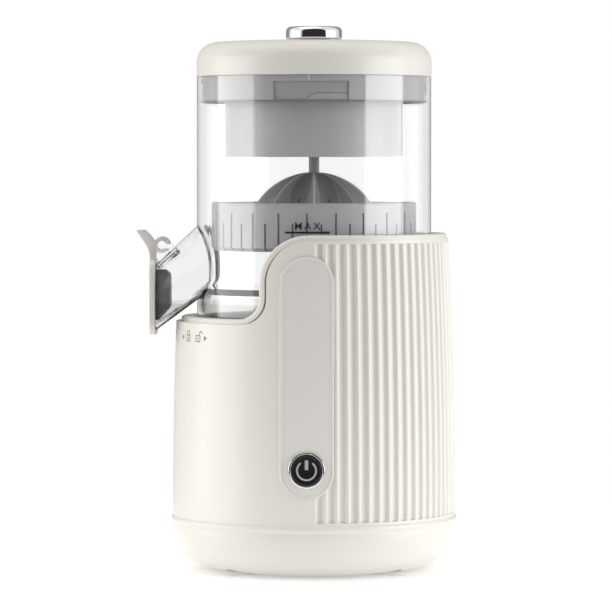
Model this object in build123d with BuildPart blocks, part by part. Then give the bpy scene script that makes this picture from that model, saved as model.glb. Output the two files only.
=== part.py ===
"""Portable citrus press juicer: a rechargeable base, a clear spouted cup, a strainer, a ribbed reamer
and a lid whose press block comes down on the half fruit.

+Z is up, the reamer turns about the Z axis, the spout points to -X and the power button faces -Y.
The origin is on the Z axis, in the plane of the feet. All sizes are in millimetres.
"""

from build123d import *
import math
import os

# ---------------------------------------------------------------- driving dimensions
# Base pan and body
PAN_BOTTOM = 1.0  # the feet stand this far below the pan
PAN_FLAT_R = 46.0
PAN_R = 63.3
PAN_WALL = 2.2
BEAD_BOTTOM = 20.9
BEAD_R = 64.3
BODY_BOTTOM = 24.2
BODY_R_BOTTOM = 63.5
BODY_R_MIDDLE = 62.7
BODY_R_TOP = 60.3
BODY_MIDDLE = 88.0
BODY_WALL = 2.6

# The rim: high round the fruit, low under the spout, joined by a double curve on each side
RIM_HIGH = 150.7
RIM_LOW = 113.7
RIM_STEP_X = -23.3
RIM_UPPER_R = 21.0
RIM_LOWER_R = 9.3
LIP = 2.3  # the liner's lip shows this far above the body shell

# Ribs on the right half of the body
RIBS = 40
RIB_DEPTH = 1.15
GROOVE_WIDTH = 2.4
RIB_TOP_BAND = 1.4
RIB_BOTTOM_BAND = 1.2

# Control panel
PANEL_ANGLE = -3.0  # degrees from -Y towards -X
PANEL_WIDTH = 24.0
PANEL_HEIGHT = 106.2
PANEL_MIDDLE = 88.8
PANEL_PROUD = 0.7
PANEL_DEPTH = 1.3
BUTTON_Z = 48.7
BEZEL_R = 8.0
BUTTON_R = 6.7
BUTTON_TRAVEL = 0.8

# Liner, the well that the cup stands in
WELL_R = 54.0
WELL_WALL = 2.0
WELL_FLOOR = 100.0
WELL_FLOOR_THICK = 2.5
LINER_LIP_R = 59.5
SEAT_RING_THICK = 1.5

# Cup
CUP_R = 52.65
CUP_IN_R = 49.7
NECK_IN_R = 51.0
CUP_TOP = 220.7
CUP_LEDGE = 209.0
CUP_FLOOR = 126.4
CUP_FLOOR_THICK = 2.8
CUP_FOOT = WELL_FLOOR + SEAT_RING_THICK
CHIMNEY_IN_R = 5.6
CHIMNEY_R = 7.6
CHIMNEY_TOP = 157.0
STRAINER_SEAT = 141.0
LOCK_LUGS = 3
LID_LUG_START = 3.0  # degrees from -Y, the cup's front lug that holds the lid
LID_LUG_END = 16.4
CUP_TWIST = 25.0

# Spout
MOUTH_X = -70.7
SPOUT_WALL = 2.0
ROOT_X = -52.6
ROOT_WIDTH = 45.0
ROOT_HEIGHT = 33.0
ROOT_MIDDLE = 137.3
MOUTH_WIDTH = 34.0
MOUTH_HEIGHT = 29.9
MOUTH_MIDDLE = 122.3
HINGE_X = -68.2
HINGE_Z = 145.5
HINGE_PIN_R = 1.85

# Spout cap
CAP_PLATE = 2.4
CAP_GAP = 0.3
CAP_WIDTH = 37.0
CAP_BOTTOM = 105.3
CAP_TOP = 139.0
HOOK_R = 3.6
HOOK_WIDTH = 12.0

# Strainer
STRAINER_TOP = 164.5
STRAINER_BOTTOM = 143.1
STRAINER_R = 46.0
STRAINER_WALL = 1.6
SLITS = 46
SLIT_WIDTH = 0.9

# Reamer
REAMER_R = 31.0
REAMER_APEX = 178.1
REAMER_FOOT = 149.0
REAMER_FINS = 8
STEM_ACROSS_CORNERS = 4.7
STEM_TOP = 212.0

# Lid
LID_R = 52.8
LID_BOTTOM = 220.9
LID_TOP = 237.2
LID_CORNER_R = 9.0
LID_WALL = 2.2
LID_CROWN = 1.0
RING_R = 50.7
RING_WALL = 2.9
RING_TUCK_R = 50.35
LID_LUGS = 4
LID_TWIST = 22.0
SEAL_THICK = 0.9
PRESS_R = 40.0
PRESS_BOTTOM = 184.9
PRESS_TOP = 212.0
PRESS_CAVITY_R = 36.0
PRESS_CAVITY_TOP = 207.0
PRESS_TRAVEL = 18.0
SCREW_R = 7.9
TUBE_IN_R = 8.0
TUBE_R = 10.0

# Drive
GEAR_TEETH = 48
PINION_TEETH = 12
FINAL_MODULE = 1.0
FIRST_MODULE = 0.8
SHAFT_R = 3.0
TRAY_BOTTOM = 76.0
MOTOR_R = 18.0
MOTOR_LENGTH = 46.0
CELL_R = 9.2
CELL_LENGTH = 65.0
BOARD_Y = -42.0

CLEAR = 0.3  # between pieces that move past each other
RUNNING = 0.05  # radial, on shafts in their bores

# ---------------------------------------------------------------- places worked out from them
RIM_UPPER_CENTRE = (RIM_STEP_X + RIM_UPPER_R, RIM_HIGH - RIM_UPPER_R)
RIM_LOWER_CENTRE = (RIM_STEP_X - RIM_LOWER_R, RIM_LOW + RIM_LOWER_R)
SHELL_TOP = RIM_HIGH - LIP
PITCH = 180.0 / RIBS
IDLER_Y = (GEAR_TEETH + PINION_TEETH) * FINAL_MODULE / 2
MOTOR_REACH = (GEAR_TEETH + PINION_TEETH) * FIRST_MODULE / 2
MOTOR_X = MOTOR_REACH * math.cos(math.radians(210))
MOTOR_Y = IDLER_Y + MOTOR_REACH * math.sin(math.radians(210))
FIRST_GEAR_Z = TRAY_BOTTOM + 3.0
FIRST_GEAR_FACE = 5.0
FINAL_GEAR_Z = FIRST_GEAR_Z + FIRST_GEAR_FACE + 1.0
FINAL_GEAR_FACE = 7.0
TRAY_TOP = FINAL_GEAR_Z + FINAL_GEAR_FACE + 1.0
CELL_PLACES = ((24.0, -20.0), (32.0, 1.0))
PORT_ANGLE = 200.0
PORT_Z = 38.0

pieces = {}


def facing(angle, z=0.0, reach=0.0):
    """The upright plane whose normal points outwards at this angle from -Y towards +X."""
    a = math.radians(angle)
    out = Vector(math.sin(a), -math.cos(a), 0)
    return Plane(
        origin=(out.X * reach, out.Y * reach, z),
        x_dir=(math.cos(a), math.sin(a), 0),
        z_dir=out,
    )


def polar(radius, angle):
    """The point at this radius and this angle from -Y towards +X."""
    a = math.radians(angle)
    return (radius * math.sin(a), -radius * math.cos(a))


def body_radius(z):
    """The body's outer radius, along the arc through its bottom, middle and top radii."""
    low, mid, top = BODY_BOTTOM, BODY_MIDDLE, SHELL_TOP
    r_low, r_mid, r_top = BODY_R_BOTTOM, BODY_R_MIDDLE, BODY_R_TOP
    return (
        r_low * (z - mid) * (z - top) / ((low - mid) * (low - top))
        + r_mid * (z - low) * (z - top) / ((mid - low) * (mid - top))
        + r_top * (z - low) * (z - mid) / ((top - low) * (top - mid))
    )


def body_slab(outside, inside, low, high):
    """A ring that follows the body's wall, from outside to inside millimetres out of its surface."""
    middle = (low + high) / 2
    with BuildSketch(Plane.XZ, mode=Mode.PRIVATE) as profile:
        with BuildLine():
            ThreePointArc(
                (body_radius(low) + outside, low),
                (body_radius(middle) + outside, middle),
                (body_radius(high) + outside, high),
            )
            Line((body_radius(high) + outside, high), (body_radius(high) + inside, high))
            ThreePointArc(
                (body_radius(high) + inside, high),
                (body_radius(middle) + inside, middle),
                (body_radius(low) + inside, low),
            )
            Line((body_radius(low) + inside, low), (body_radius(low) + outside, low))
        make_face()
    return profile.sketch


def panel_plate(margin, outside, inside):
    """The control panel's rounded plate, from outside to inside millimetres out of the body's surface."""
    with BuildPart(mode=Mode.PRIVATE) as plate:
        add(body_slab(outside, inside, 30, SHELL_TOP - 1))
        revolve(axis=Axis.Z)
        with BuildSketch(facing(PANEL_ANGLE, PANEL_MIDDLE, 40)):
            SlotOverall(PANEL_HEIGHT - margin, PANEL_WIDTH - margin, rotation=90)
        extrude(amount=40, mode=Mode.INTERSECT)
    return plate.part


def above_rim(drop):
    """The region over the rim's curve, seen along +Y, with the curve drop below the lip's top."""
    ux, uz = RIM_UPPER_CENTRE
    lx, lz = RIM_LOWER_CENTRE
    upper_r, lower_r = RIM_UPPER_R - drop, RIM_LOWER_R + drop
    half = math.sqrt(0.5)
    with BuildSketch(Plane.XZ, mode=Mode.PRIVATE) as region:
        with BuildLine():
            Polyline(
                (lx, lz - lower_r),
                (-90, lz - lower_r),
                (-90, 200),
                (90, 200),
                (90, uz + upper_r),
                (ux, uz + upper_r),
            )
            ThreePointArc((ux, uz + upper_r), (ux - upper_r * half, uz + upper_r * half), (ux - upper_r, uz))
            Line((ux - upper_r, uz), (lx + lower_r, lz))
            ThreePointArc((lx + lower_r, lz), (lx + lower_r * half, lz - lower_r * half), (lx, lz - lower_r))
        make_face()
    return region.sketch


def gear_outline(teeth, module, first_tooth, centre=(0, 0)):
    """An involute gear's outline with stub teeth and a little backlash, a tooth at first_tooth degrees."""
    pressure = math.radians(20)
    pitch_r = teeth * module / 2
    base_r = pitch_r * math.cos(pressure)
    tip_r = pitch_r + 0.8 * module
    root_r = pitch_r - 1.05 * module
    backlash = 0.1
    half_tooth = math.pi / (2 * teeth) - backlash / pitch_r
    rolled = math.tan(pressure) - pressure

    def half_angle(r):
        if r <= base_r:
            return half_tooth + rolled
        lean = math.acos(base_r / r)
        return half_tooth + rolled - (math.tan(lean) - lean)

    flank = [root_r, max(base_r, root_r + 0.01), pitch_r, tip_r]
    points = []
    for tooth in range(teeth):
        middle = math.radians(first_tooth) + 2 * math.pi * tooth / teeth
        for r in flank:
            points.append((middle - half_angle(r), r))
        for r in reversed(flank):
            points.append((middle + half_angle(r), r))
    return [(centre[0] + r * math.cos(a), centre[1] + r * math.sin(a)) for a, r in points]


PANEL_FACE = body_radius(BUTTON_Z) + PANEL_PROUD

# ================================================================ base
# Pan: the rounded tub under the body, with a bead round its rim.
with BuildPart() as base_pan:
    with BuildSketch(Plane.XZ):
        with BuildLine():
            curve_z = PAN_BOTTOM + PAN_R - PAN_FLAT_R
            half = math.sqrt(0.5)
            reach = PAN_R - PAN_FLAT_R
            Polyline((0, PAN_BOTTOM), (PAN_FLAT_R, PAN_BOTTOM))
            ThreePointArc(
                (PAN_FLAT_R, PAN_BOTTOM),
                (PAN_FLAT_R + reach * half, curve_z - reach * half),
                (PAN_R, curve_z),
            )
            Polyline((PAN_R, curve_z), (PAN_R, BEAD_BOTTOM))
            ThreePointArc(
                (PAN_R, BEAD_BOTTOM),
                (BEAD_R, (BEAD_BOTTOM + BODY_BOTTOM) / 2),
                (BEAD_R - 0.7, BODY_BOTTOM),
            )
            Polyline(
                (BEAD_R - 0.7, BODY_BOTTOM),
                (PAN_R - PAN_WALL, BODY_BOTTOM),
                (PAN_R - PAN_WALL, curve_z),
            )
            ThreePointArc(
                (PAN_R - PAN_WALL, curve_z),
                (PAN_FLAT_R + (reach - PAN_WALL) * half, curve_z - (reach - PAN_WALL) * half),
                (PAN_FLAT_R, PAN_BOTTOM + PAN_WALL),
            )
            Polyline((PAN_FLAT_R, PAN_BOTTOM + PAN_WALL), (0, PAN_BOTTOM + PAN_WALL), (0, PAN_BOTTOM))
        make_face()
    revolve(axis=Axis.Z)
    # posts that the pan's screws pass up through, and rails for the control board
    with BuildSketch(Plane.XY.offset(PAN_BOTTOM + PAN_WALL)):
        with PolarLocations(50.6, 4, start_angle=45):
            Circle(3.9)
    extrude(amount=BODY_BOTTOM - PAN_BOTTOM - PAN_WALL)
    with BuildSketch(Plane.XY.offset(PAN_BOTTOM + PAN_WALL)):
        with Locations((-20.8, -41.2), (13.8, -41.2)):
            Rectangle(4.4, 4.4)
        with Locations((-3.5, -41.2)):
            Rectangle(32.2, 1.8, mode=Mode.SUBTRACT)
    extrude(amount=30.0)
    with BuildSketch(Plane.XY.offset(PAN_BOTTOM)):
        with PolarLocations(50.6, 4, start_angle=45):
            Circle(1.7)
    extrude(amount=BODY_BOTTOM - PAN_BOTTOM, mode=Mode.SUBTRACT)
    with BuildSketch(Plane.XY.offset(PAN_BOTTOM)):
        with PolarLocations(36.0, 4, start_angle=45):
            Circle(5.6)
    extrude(amount=1.3, mode=Mode.SUBTRACT)
    with BuildSketch(Plane.XY.offset(PAN_BOTTOM)):
        with PolarLocations(50.6, 4, start_angle=45):
            Circle(3.0)
    extrude(amount=BODY_BOTTOM - PAN_BOTTOM - 4.0, mode=Mode.SUBTRACT)
pieces["base_pan"] = base_pan

# Feet: four rubber discs let into the pan.
with BuildPart() as feet:
    with BuildSketch():
        with PolarLocations(36.0, 4, start_angle=45):
            Circle(5.5)
    extrude(amount=PAN_BOTTOM + 1.3)
    chamfer(feet.edges().filter_by(GeomType.CIRCLE).group_by(Axis.Z)[0], 0.4)
pieces["feet"] = feet

# Pan screws: up through the pan's posts into the body shell's bosses.
with BuildPart() as pan_screws:
    head_top = BODY_BOTTOM - 4.0
    with BuildSketch(Plane.XY.offset(head_top - 2.0)):
        with PolarLocations(50.6, 4, start_angle=45):
            Circle(2.8)
    extrude(amount=2.0)
    with BuildSketch(Plane.XY.offset(head_top)):
        with PolarLocations(50.6, 4, start_angle=45):
            Circle(1.4)
    extrude(amount=11.0)
pieces["pan_screws"] = pan_screws

# One groove between two ribs, standing at angle 0 from +X.
with BuildPart() as groove:
    foot, head = BODY_BOTTOM + RIB_BOTTOM_BAND, SHELL_TOP - RIB_TOP_BAND
    with BuildSketch(Plane.XZ):
        with BuildLine():
            ThreePointArc(
                (body_radius(foot) - RIB_DEPTH, foot),
                (body_radius(BODY_MIDDLE) - RIB_DEPTH, BODY_MIDDLE),
                (body_radius(head) - RIB_DEPTH, head),
            )
            Polyline(
                (body_radius(head) - RIB_DEPTH, head),
                (BODY_R_BOTTOM + 2, head),
                (BODY_R_BOTTOM + 2, foot),
                (body_radius(foot) - RIB_DEPTH, foot),
            )
        make_face()
    extrude(amount=GROOVE_WIDTH / 2, both=True)

# Body shell: a slightly barrelled tube, plain on the spout's side and ribbed on the other.
with BuildPart() as body_shell:
    add(body_slab(0, -BODY_WALL, BODY_BOTTOM, SHELL_TOP))
    revolve(axis=Axis.Z)
    with PolarLocations(0, RIBS, start_angle=-90 + PITCH / 2, angular_range=180):
        add(groove.part, mode=Mode.SUBTRACT)
    # the double curve of the rim
    extrude(above_rim(LIP), amount=90, both=True, mode=Mode.SUBTRACT)
    # pocket for the control panel, and the hole behind it for the button
    add(panel_plate(0, 3.0, -PANEL_DEPTH), mode=Mode.SUBTRACT)
    with BuildSketch(facing(PANEL_ANGLE, BUTTON_Z, 40)):
        Circle(BEZEL_R - 0.8)
    extrude(amount=30, mode=Mode.SUBTRACT)
    # charging port window
    with BuildSketch(facing(PORT_ANGLE, PORT_Z, 40)):
        SlotOverall(12.0, 6.0)
    extrude(amount=30, mode=Mode.SUBTRACT)
    # bosses for the pan's screws
    with BuildSketch(Plane.XY.offset(BODY_BOTTOM)):
        with PolarLocations(50.6, 4, start_angle=45):
            Circle(3.9)
        with PolarLocations(56.0, 4, start_angle=45):
            Rectangle(10.0, 3.0)
        with PolarLocations(50.6, 4, start_angle=45):
            Circle(1.4, mode=Mode.SUBTRACT)
    extrude(amount=10.0)
pieces["body_shell"] = body_shell

# Control panel: a long rounded plate let into the body's front, with a soft outer edge.
with BuildPart() as control_panel:
    add(panel_plate(0.3, PANEL_PROUD, -PANEL_DEPTH))
    with BuildSketch(facing(PANEL_ANGLE, BUTTON_Z, 40)):
        Circle(BEZEL_R - 0.8)
    extrude(amount=30, mode=Mode.SUBTRACT)
    with BuildSketch(facing(PANEL_ANGLE, BUTTON_Z, PANEL_FACE - 0.3)):
        Circle(BEZEL_R)
    extrude(amount=5, mode=Mode.SUBTRACT)
pieces["control_panel"] = control_panel


# Bezel: a bright ring round the button, pressed into the panel.
with BuildPart() as button_bezel:
    with BuildSketch(facing(PANEL_ANGLE, BUTTON_Z, PANEL_FACE + 0.6)):
        Circle(BEZEL_R)
        Circle(BUTTON_R + 0.3, mode=Mode.SUBTRACT)
    extrude(amount=-0.9)
    with BuildSketch(facing(PANEL_ANGLE, BUTTON_Z, PANEL_FACE - 0.3)):
        Circle(BEZEL_R - 0.8)
        Circle(BUTTON_R + 0.3, mode=Mode.SUBTRACT)
    extrude(amount=-6.0)
pieces["button_bezel"] = button_bezel

# Button: a black disc with a stem that reaches the switch.
with BuildPart() as power_button:
    with BuildSketch(facing(PANEL_ANGLE, BUTTON_Z, PANEL_FACE + 0.9)):
        Circle(BUTTON_R)
    extrude(amount=-5.0)
    with BuildSketch(facing(PANEL_ANGLE, BUTTON_Z, -BOARD_Y + 4.5)):
        Circle(2.0)
    extrude(amount=PANEL_FACE - 3.5 + BOARD_Y - 4.5)
pieces["power_button"] = power_button

# Control board: stands behind the button, with its switch and a few parts on it.
with BuildPart() as control_board:
    with BuildSketch(Plane.XZ.offset(-BOARD_Y - 1.6)):
        with Locations((-3.5, 45)):
            Rectangle(32, 50)
    extrude(amount=1.6)
pieces["control_board"] = control_board

with BuildPart() as board_switch:
    with BuildSketch(Plane.XZ.offset(-BOARD_Y)):
        with Locations((polar(60, PANEL_ANGLE)[0], BUTTON_Z)):
            Rectangle(6, 6)
    extrude(amount=3.4)
pieces["board_switch"] = board_switch

# ================================================================ liner and its fittings
# Well: the fixed inner cup of the base, whose lip covers the shell's edge.
with BuildPart() as cup_well:
    with BuildSketch(Plane.XY.offset(WELL_FLOOR - WELL_FLOOR_THICK)):
        Circle(WELL_R + WELL_WALL)
    extrude(amount=WELL_FLOOR_THICK)
    with BuildSketch(Plane.XY.offset(WELL_FLOOR)):
        Circle(WELL_R + WELL_WALL)
        Circle(WELL_R, mode=Mode.SUBTRACT)
    extrude(amount=RIM_HIGH - WELL_FLOOR)
    extrude(above_rim(0), amount=90, both=True, mode=Mode.SUBTRACT)
    # socket for the shaft's bush, and the blind hole for the idler's pin
    with BuildSketch(Plane.XY.offset(WELL_FLOOR - WELL_FLOOR_THICK - 3.0)):
        Circle(9.0)
        with Locations((0, IDLER_Y)):
            Circle(3.9)
    extrude(amount=3.0)
    with BuildSketch(Plane.XY.offset(WELL_FLOOR - WELL_FLOOR_THICK - 3.0)):
        Circle(6.0)
    extrude(amount=10.0, mode=Mode.SUBTRACT)
    with BuildSketch(Plane.XY.offset(WELL_FLOOR - WELL_FLOOR_THICK - 3.0)):
        with Locations((0, IDLER_Y)):
            Circle(1.5)
    extrude(amount=4.0, mode=Mode.SUBTRACT)

with BuildPart() as well_lip:
    with BuildSketch(Plane.XY.offset(RIM_LOW - 10)):
        Circle(LINER_LIP_R)
        Circle(WELL_R + WELL_WALL - 0.2, mode=Mode.SUBTRACT)
    extrude(amount=60)
    extrude(above_rim(LIP), amount=90, both=True, mode=Mode.INTERSECT)
    extrude(above_rim(0), amount=90, both=True, mode=Mode.SUBTRACT)

with BuildPart() as cup_well_whole:
    add(cup_well.part)
    add(well_lip.part)
pieces["cup_well"] = cup_well_whole

# Bush that carries the output shaft, and the seal over it.
with BuildPart() as shaft_bush:
    with BuildSketch(Plane.XY.offset(WELL_FLOOR - WELL_FLOOR_THICK - 3.0)):
        Circle(6.0)
        Circle(SHAFT_R + RUNNING, mode=Mode.SUBTRACT)
    extrude(amount=4.5)
pieces["shaft_bush"] = shaft_bush

with BuildPart() as shaft_seal:
    with BuildSketch(Plane.XY.offset(WELL_FLOOR - 1.0)):
        Circle(6.0)
        Circle(SHAFT_R + RUNNING, mode=Mode.SUBTRACT)
    extrude(amount=1.8)
pieces["shaft_seal"] = shaft_seal

# Gear case: a tray under the well that holds the gears, with the motor bolted below it.
with BuildPart() as gear_case:
    with BuildSketch(Plane.XY.offset(TRAY_BOTTOM - 2.0)):
        Circle(28.0)
        with Locations((0, IDLER_Y)):
            Circle(23.0)
        with Locations((MOTOR_X, MOTOR_Y)):
            Circle(19.5)
    extrude(amount=2.0)
    with BuildSketch(Plane.XY.offset(TRAY_BOTTOM)):
        Circle(28.0)
        with Locations((0, IDLER_Y)):
            Circle(23.0)
        with Locations((MOTOR_X, MOTOR_Y)):
            Circle(8.2)
    extrude(amount=WELL_FLOOR - WELL_FLOOR_THICK - TRAY_BOTTOM)
    with BuildSketch(Plane.XY.offset(TRAY_BOTTOM)):
        Circle(26.0)
        with Locations((0, IDLER_Y)):
            Circle(21.0)
    extrude(amount=WELL_FLOOR - TRAY_BOTTOM, mode=Mode.SUBTRACT)
    with BuildSketch(Plane.XY.offset(TRAY_BOTTOM)):
        with Locations((MOTOR_X, MOTOR_Y)):
            Circle(6.5)
    extrude(amount=WELL_FLOOR - TRAY_BOTTOM, mode=Mode.SUBTRACT)
    with BuildSketch(Plane.XY.offset(TRAY_BOTTOM)):
        Circle(5.5)
        with Locations((0, IDLER_Y)):
            Circle(3.9)
    extrude(amount=2.0)
    # bores for the shafts and the motor's screws
    with BuildSketch(Plane.XY.offset(TRAY_BOTTOM - 1.0)):
        Circle(SHAFT_R + RUNNING)
        with Locations((0, IDLER_Y)):
            Circle(1.5)
    extrude(amount=5.0, mode=Mode.SUBTRACT)
    with BuildSketch(Plane.XY.offset(TRAY_BOTTOM - 2.0)):
        with Locations((MOTOR_X, MOTOR_Y)):
            Circle(3.2)
            with PolarLocations(12.5, 2, start_angle=-60):
                Circle(1.6)
    extrude(amount=40.0, mode=Mode.SUBTRACT)
pieces["gear_case"] = gear_case

# Motor: can, rotor with its shaft, and two screws from above.
with BuildPart() as motor_can:
    with BuildSketch(Plane.XY.offset(TRAY_BOTTOM - 2.0 - MOTOR_LENGTH)):
        with Locations((MOTOR_X, MOTOR_Y)):
            Circle(MOTOR_R)
    extrude(amount=MOTOR_LENGTH)
    with BuildSketch(Plane.XY.offset(TRAY_BOTTOM - MOTOR_LENGTH)):
        with Locations((MOTOR_X, MOTOR_Y)):
            Circle(MOTOR_R - 2.0)
    extrude(amount=MOTOR_LENGTH - 6.0, mode=Mode.SUBTRACT)
    with BuildSketch(Plane.XY.offset(TRAY_BOTTOM - 6.0)):
        with Locations((MOTOR_X, MOTOR_Y)):
            Circle(1.5 + RUNNING)
            with PolarLocations(12.5, 2, start_angle=-60):
                Circle(1.2)
    extrude(amount=10.0, mode=Mode.SUBTRACT)
pieces["motor_can"] = motor_can

with BuildPart() as motor_rotor:
    with BuildSketch(Plane.XY.offset(TRAY_BOTTOM - MOTOR_LENGTH + 4.0)):
        with Locations((MOTOR_X, MOTOR_Y)):
            Circle(13.0)
    extrude(amount=MOTOR_LENGTH - 16.0)
    with BuildSketch(Plane.XY.offset(TRAY_BOTTOM - 14.0)):
        with Locations((MOTOR_X, MOTOR_Y)):
            Circle(1.5)
    extrude(amount=FIRST_GEAR_Z + FIRST_GEAR_FACE - TRAY_BOTTOM + 14.0)
pieces["motor_rotor"] = motor_rotor

with BuildPart() as motor_pinion:
    with BuildSketch(Plane.XY.offset(FIRST_GEAR_Z)):
        with BuildLine():
            Polyline(*gear_outline(PINION_TEETH, FIRST_MODULE, 45, (MOTOR_X, MOTOR_Y)), close=True)
        make_face()
        with Locations((MOTOR_X, MOTOR_Y)):
            Circle(1.5, mode=Mode.SUBTRACT)
    extrude(amount=FIRST_GEAR_FACE)
pieces["motor_pinion"] = motor_pinion

with BuildPart() as motor_screws:
    with BuildSketch(Plane.XY.offset(TRAY_BOTTOM)):
        with Locations((MOTOR_X, MOTOR_Y)):
            with PolarLocations(12.5, 2, start_angle=-60):
                Circle(2.4)
    extrude(amount=1.6)
    with BuildSketch(Plane.XY.offset(TRAY_BOTTOM)):
        with Locations((MOTOR_X, MOTOR_Y)):
            with PolarLocations(12.5, 2, start_angle=-60):
                Circle(1.2)
    extrude(amount=-5.5)
pieces["motor_screws"] = motor_screws

# Idler: a large and a small gear in one moulding, on a fixed steel pin.
with BuildPart() as idler_gear:
    with BuildSketch(Plane.XY.offset(FIRST_GEAR_Z)):
        with BuildLine():
            Polyline(*gear_outline(GEAR_TEETH, FIRST_MODULE, 210, (0, IDLER_Y)), close=True)
        make_face()
    extrude(amount=FIRST_GEAR_FACE)
    with BuildSketch(Plane.XY.offset(FIRST_GEAR_Z + FIRST_GEAR_FACE)):
        with BuildLine():
            Polyline(*gear_outline(PINION_TEETH, FINAL_MODULE, -75, (0, IDLER_Y)), close=True)
        make_face()
    extrude(amount=FINAL_GEAR_Z + FINAL_GEAR_FACE - FIRST_GEAR_Z - FIRST_GEAR_FACE)
    with BuildSketch(Plane.XY.offset(FIRST_GEAR_Z)):
        with Locations((0, IDLER_Y)):
            Circle(1.5 + RUNNING)
    extrude(amount=30, mode=Mode.SUBTRACT)
pieces["idler_gear"] = idler_gear

with BuildPart() as idler_pin:
    with BuildSketch(Plane.XY.offset(TRAY_BOTTOM - 1.0)):
        with Locations((0, IDLER_Y)):
            Circle(1.5)
    extrude(amount=WELL_FLOOR - WELL_FLOOR_THICK - TRAY_BOTTOM + 2.0)
pieces["idler_pin"] = idler_pin

with BuildPart() as output_gear:
    with BuildSketch(Plane.XY.offset(FINAL_GEAR_Z)):
        with BuildLine():
            Polyline(*gear_outline(GEAR_TEETH, FINAL_MODULE, 90), close=True)
        make_face()
        Circle(SHAFT_R, mode=Mode.SUBTRACT)
    extrude(amount=FINAL_GEAR_FACE)
pieces["output_gear"] = output_gear

# Output shaft: up through the bush and the seal, with a two-winged head that turns the reamer.
with BuildPart() as output_shaft:
    with BuildSketch(Plane.XY.offset(TRAY_BOTTOM - 0.7)):
        Circle(SHAFT_R)
    extrude(amount=104.0 - TRAY_BOTTOM + 0.7)
    with BuildSketch(Plane.XY.offset(104.0)):
        Circle(2.2)
        Rectangle(7.2, 1.8)
    extrude(amount=10.0)
pieces["output_shaft"] = output_shaft

# Battery: two cells standing in a holder on the pan's floor.
with BuildPart() as cell_holder:
    with BuildSketch(Plane.XY.offset(PAN_BOTTOM + PAN_WALL)):
        with Locations(*CELL_PLACES):
            Circle(CELL_R + 1.6)
    extrude(amount=12.0)
    with BuildSketch(Plane.XY.offset(PAN_BOTTOM + PAN_WALL + 2.0)):
        with Locations(*CELL_PLACES):
            Circle(CELL_R)
    extrude(amount=12.0, mode=Mode.SUBTRACT)
pieces["cell_holder"] = cell_holder

with BuildPart() as battery_cells:
    with BuildSketch(Plane.XY.offset(PAN_BOTTOM + PAN_WALL + 2.0)):
        with Locations(*CELL_PLACES):
            Circle(CELL_R)
    extrude(amount=CELL_LENGTH)
pieces["battery_cells"] = battery_cells

# Charging port: a metal shell in a plastic surround that closes the shell's window.
with BuildPart() as port_surround:
    port_r = body_radius(PORT_Z)
    with BuildSketch(facing(PORT_ANGLE, PORT_Z, port_r - 6.0)):
        SlotOverall(11.8, 5.8)
        SlotOverall(9.0, 3.3, mode=Mode.SUBTRACT)
    extrude(amount=5.6)
    with BuildSketch(facing(PORT_ANGLE, PORT_Z, port_r - 6.0)):
        SlotOverall(14.0, 8.0)
        SlotOverall(9.0, 3.3, mode=Mode.SUBTRACT)
    extrude(amount=2.8)
pieces["port_surround"] = port_surround

with BuildPart() as charge_port:
    with BuildSketch(facing(PORT_ANGLE, PORT_Z, port_r - 8.0)):
        SlotOverall(9.0, 3.3)
    extrude(amount=7.3)
    with BuildSketch(facing(PORT_ANGLE, PORT_Z, port_r - 7.0)):
        SlotOverall(8.4, 2.7)
        Rectangle(6.4, 0.7, mode=Mode.SUBTRACT)
    extrude(amount=8.0, mode=Mode.SUBTRACT)
pieces["charge_port"] = charge_port

# ================================================================ cup
# Seat ring: a soft ring under the cup's foot, which turns with it.
with BuildPart() as seat_ring:
    with BuildSketch(Plane.XY.offset(WELL_FLOOR)):
        Circle(CUP_R)
        Circle(CUP_R - 4.0, mode=Mode.SUBTRACT)
    extrude(amount=SEAT_RING_THICK)
pieces["seat_ring"] = seat_ring


def spout_block(inset, near, far):
    """The spout's arched box from the cup's wall to its mouth, drawn in by inset on every side."""
    sections = []
    for x in (near, far):
        along = (ROOT_X - x) / (ROOT_X - MOUTH_X)
        half = (ROOT_WIDTH + (MOUTH_WIDTH - ROOT_WIDTH) * along) / 2 - inset
        height = ROOT_HEIGHT + (MOUTH_HEIGHT - ROOT_HEIGHT) * along
        middle = ROOT_MIDDLE + (MOUTH_MIDDLE - ROOT_MIDDLE) * along
        top = middle + height / 2 - inset
        bottom = middle - height / 2 + inset
        with BuildSketch(Plane.YZ.offset(x), mode=Mode.PRIVATE) as section:
            with BuildLine():
                Polyline((-half, top - half), (-half, bottom), (half, bottom), (half, top - half))
                ThreePointArc((half, top - half), (0, top), (-half, top - half))
            make_face()
            fillet(section.vertices().group_by(Axis.Z)[0], 4.5 - inset)
        sections.append(section.sketch)
    return sections


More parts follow.
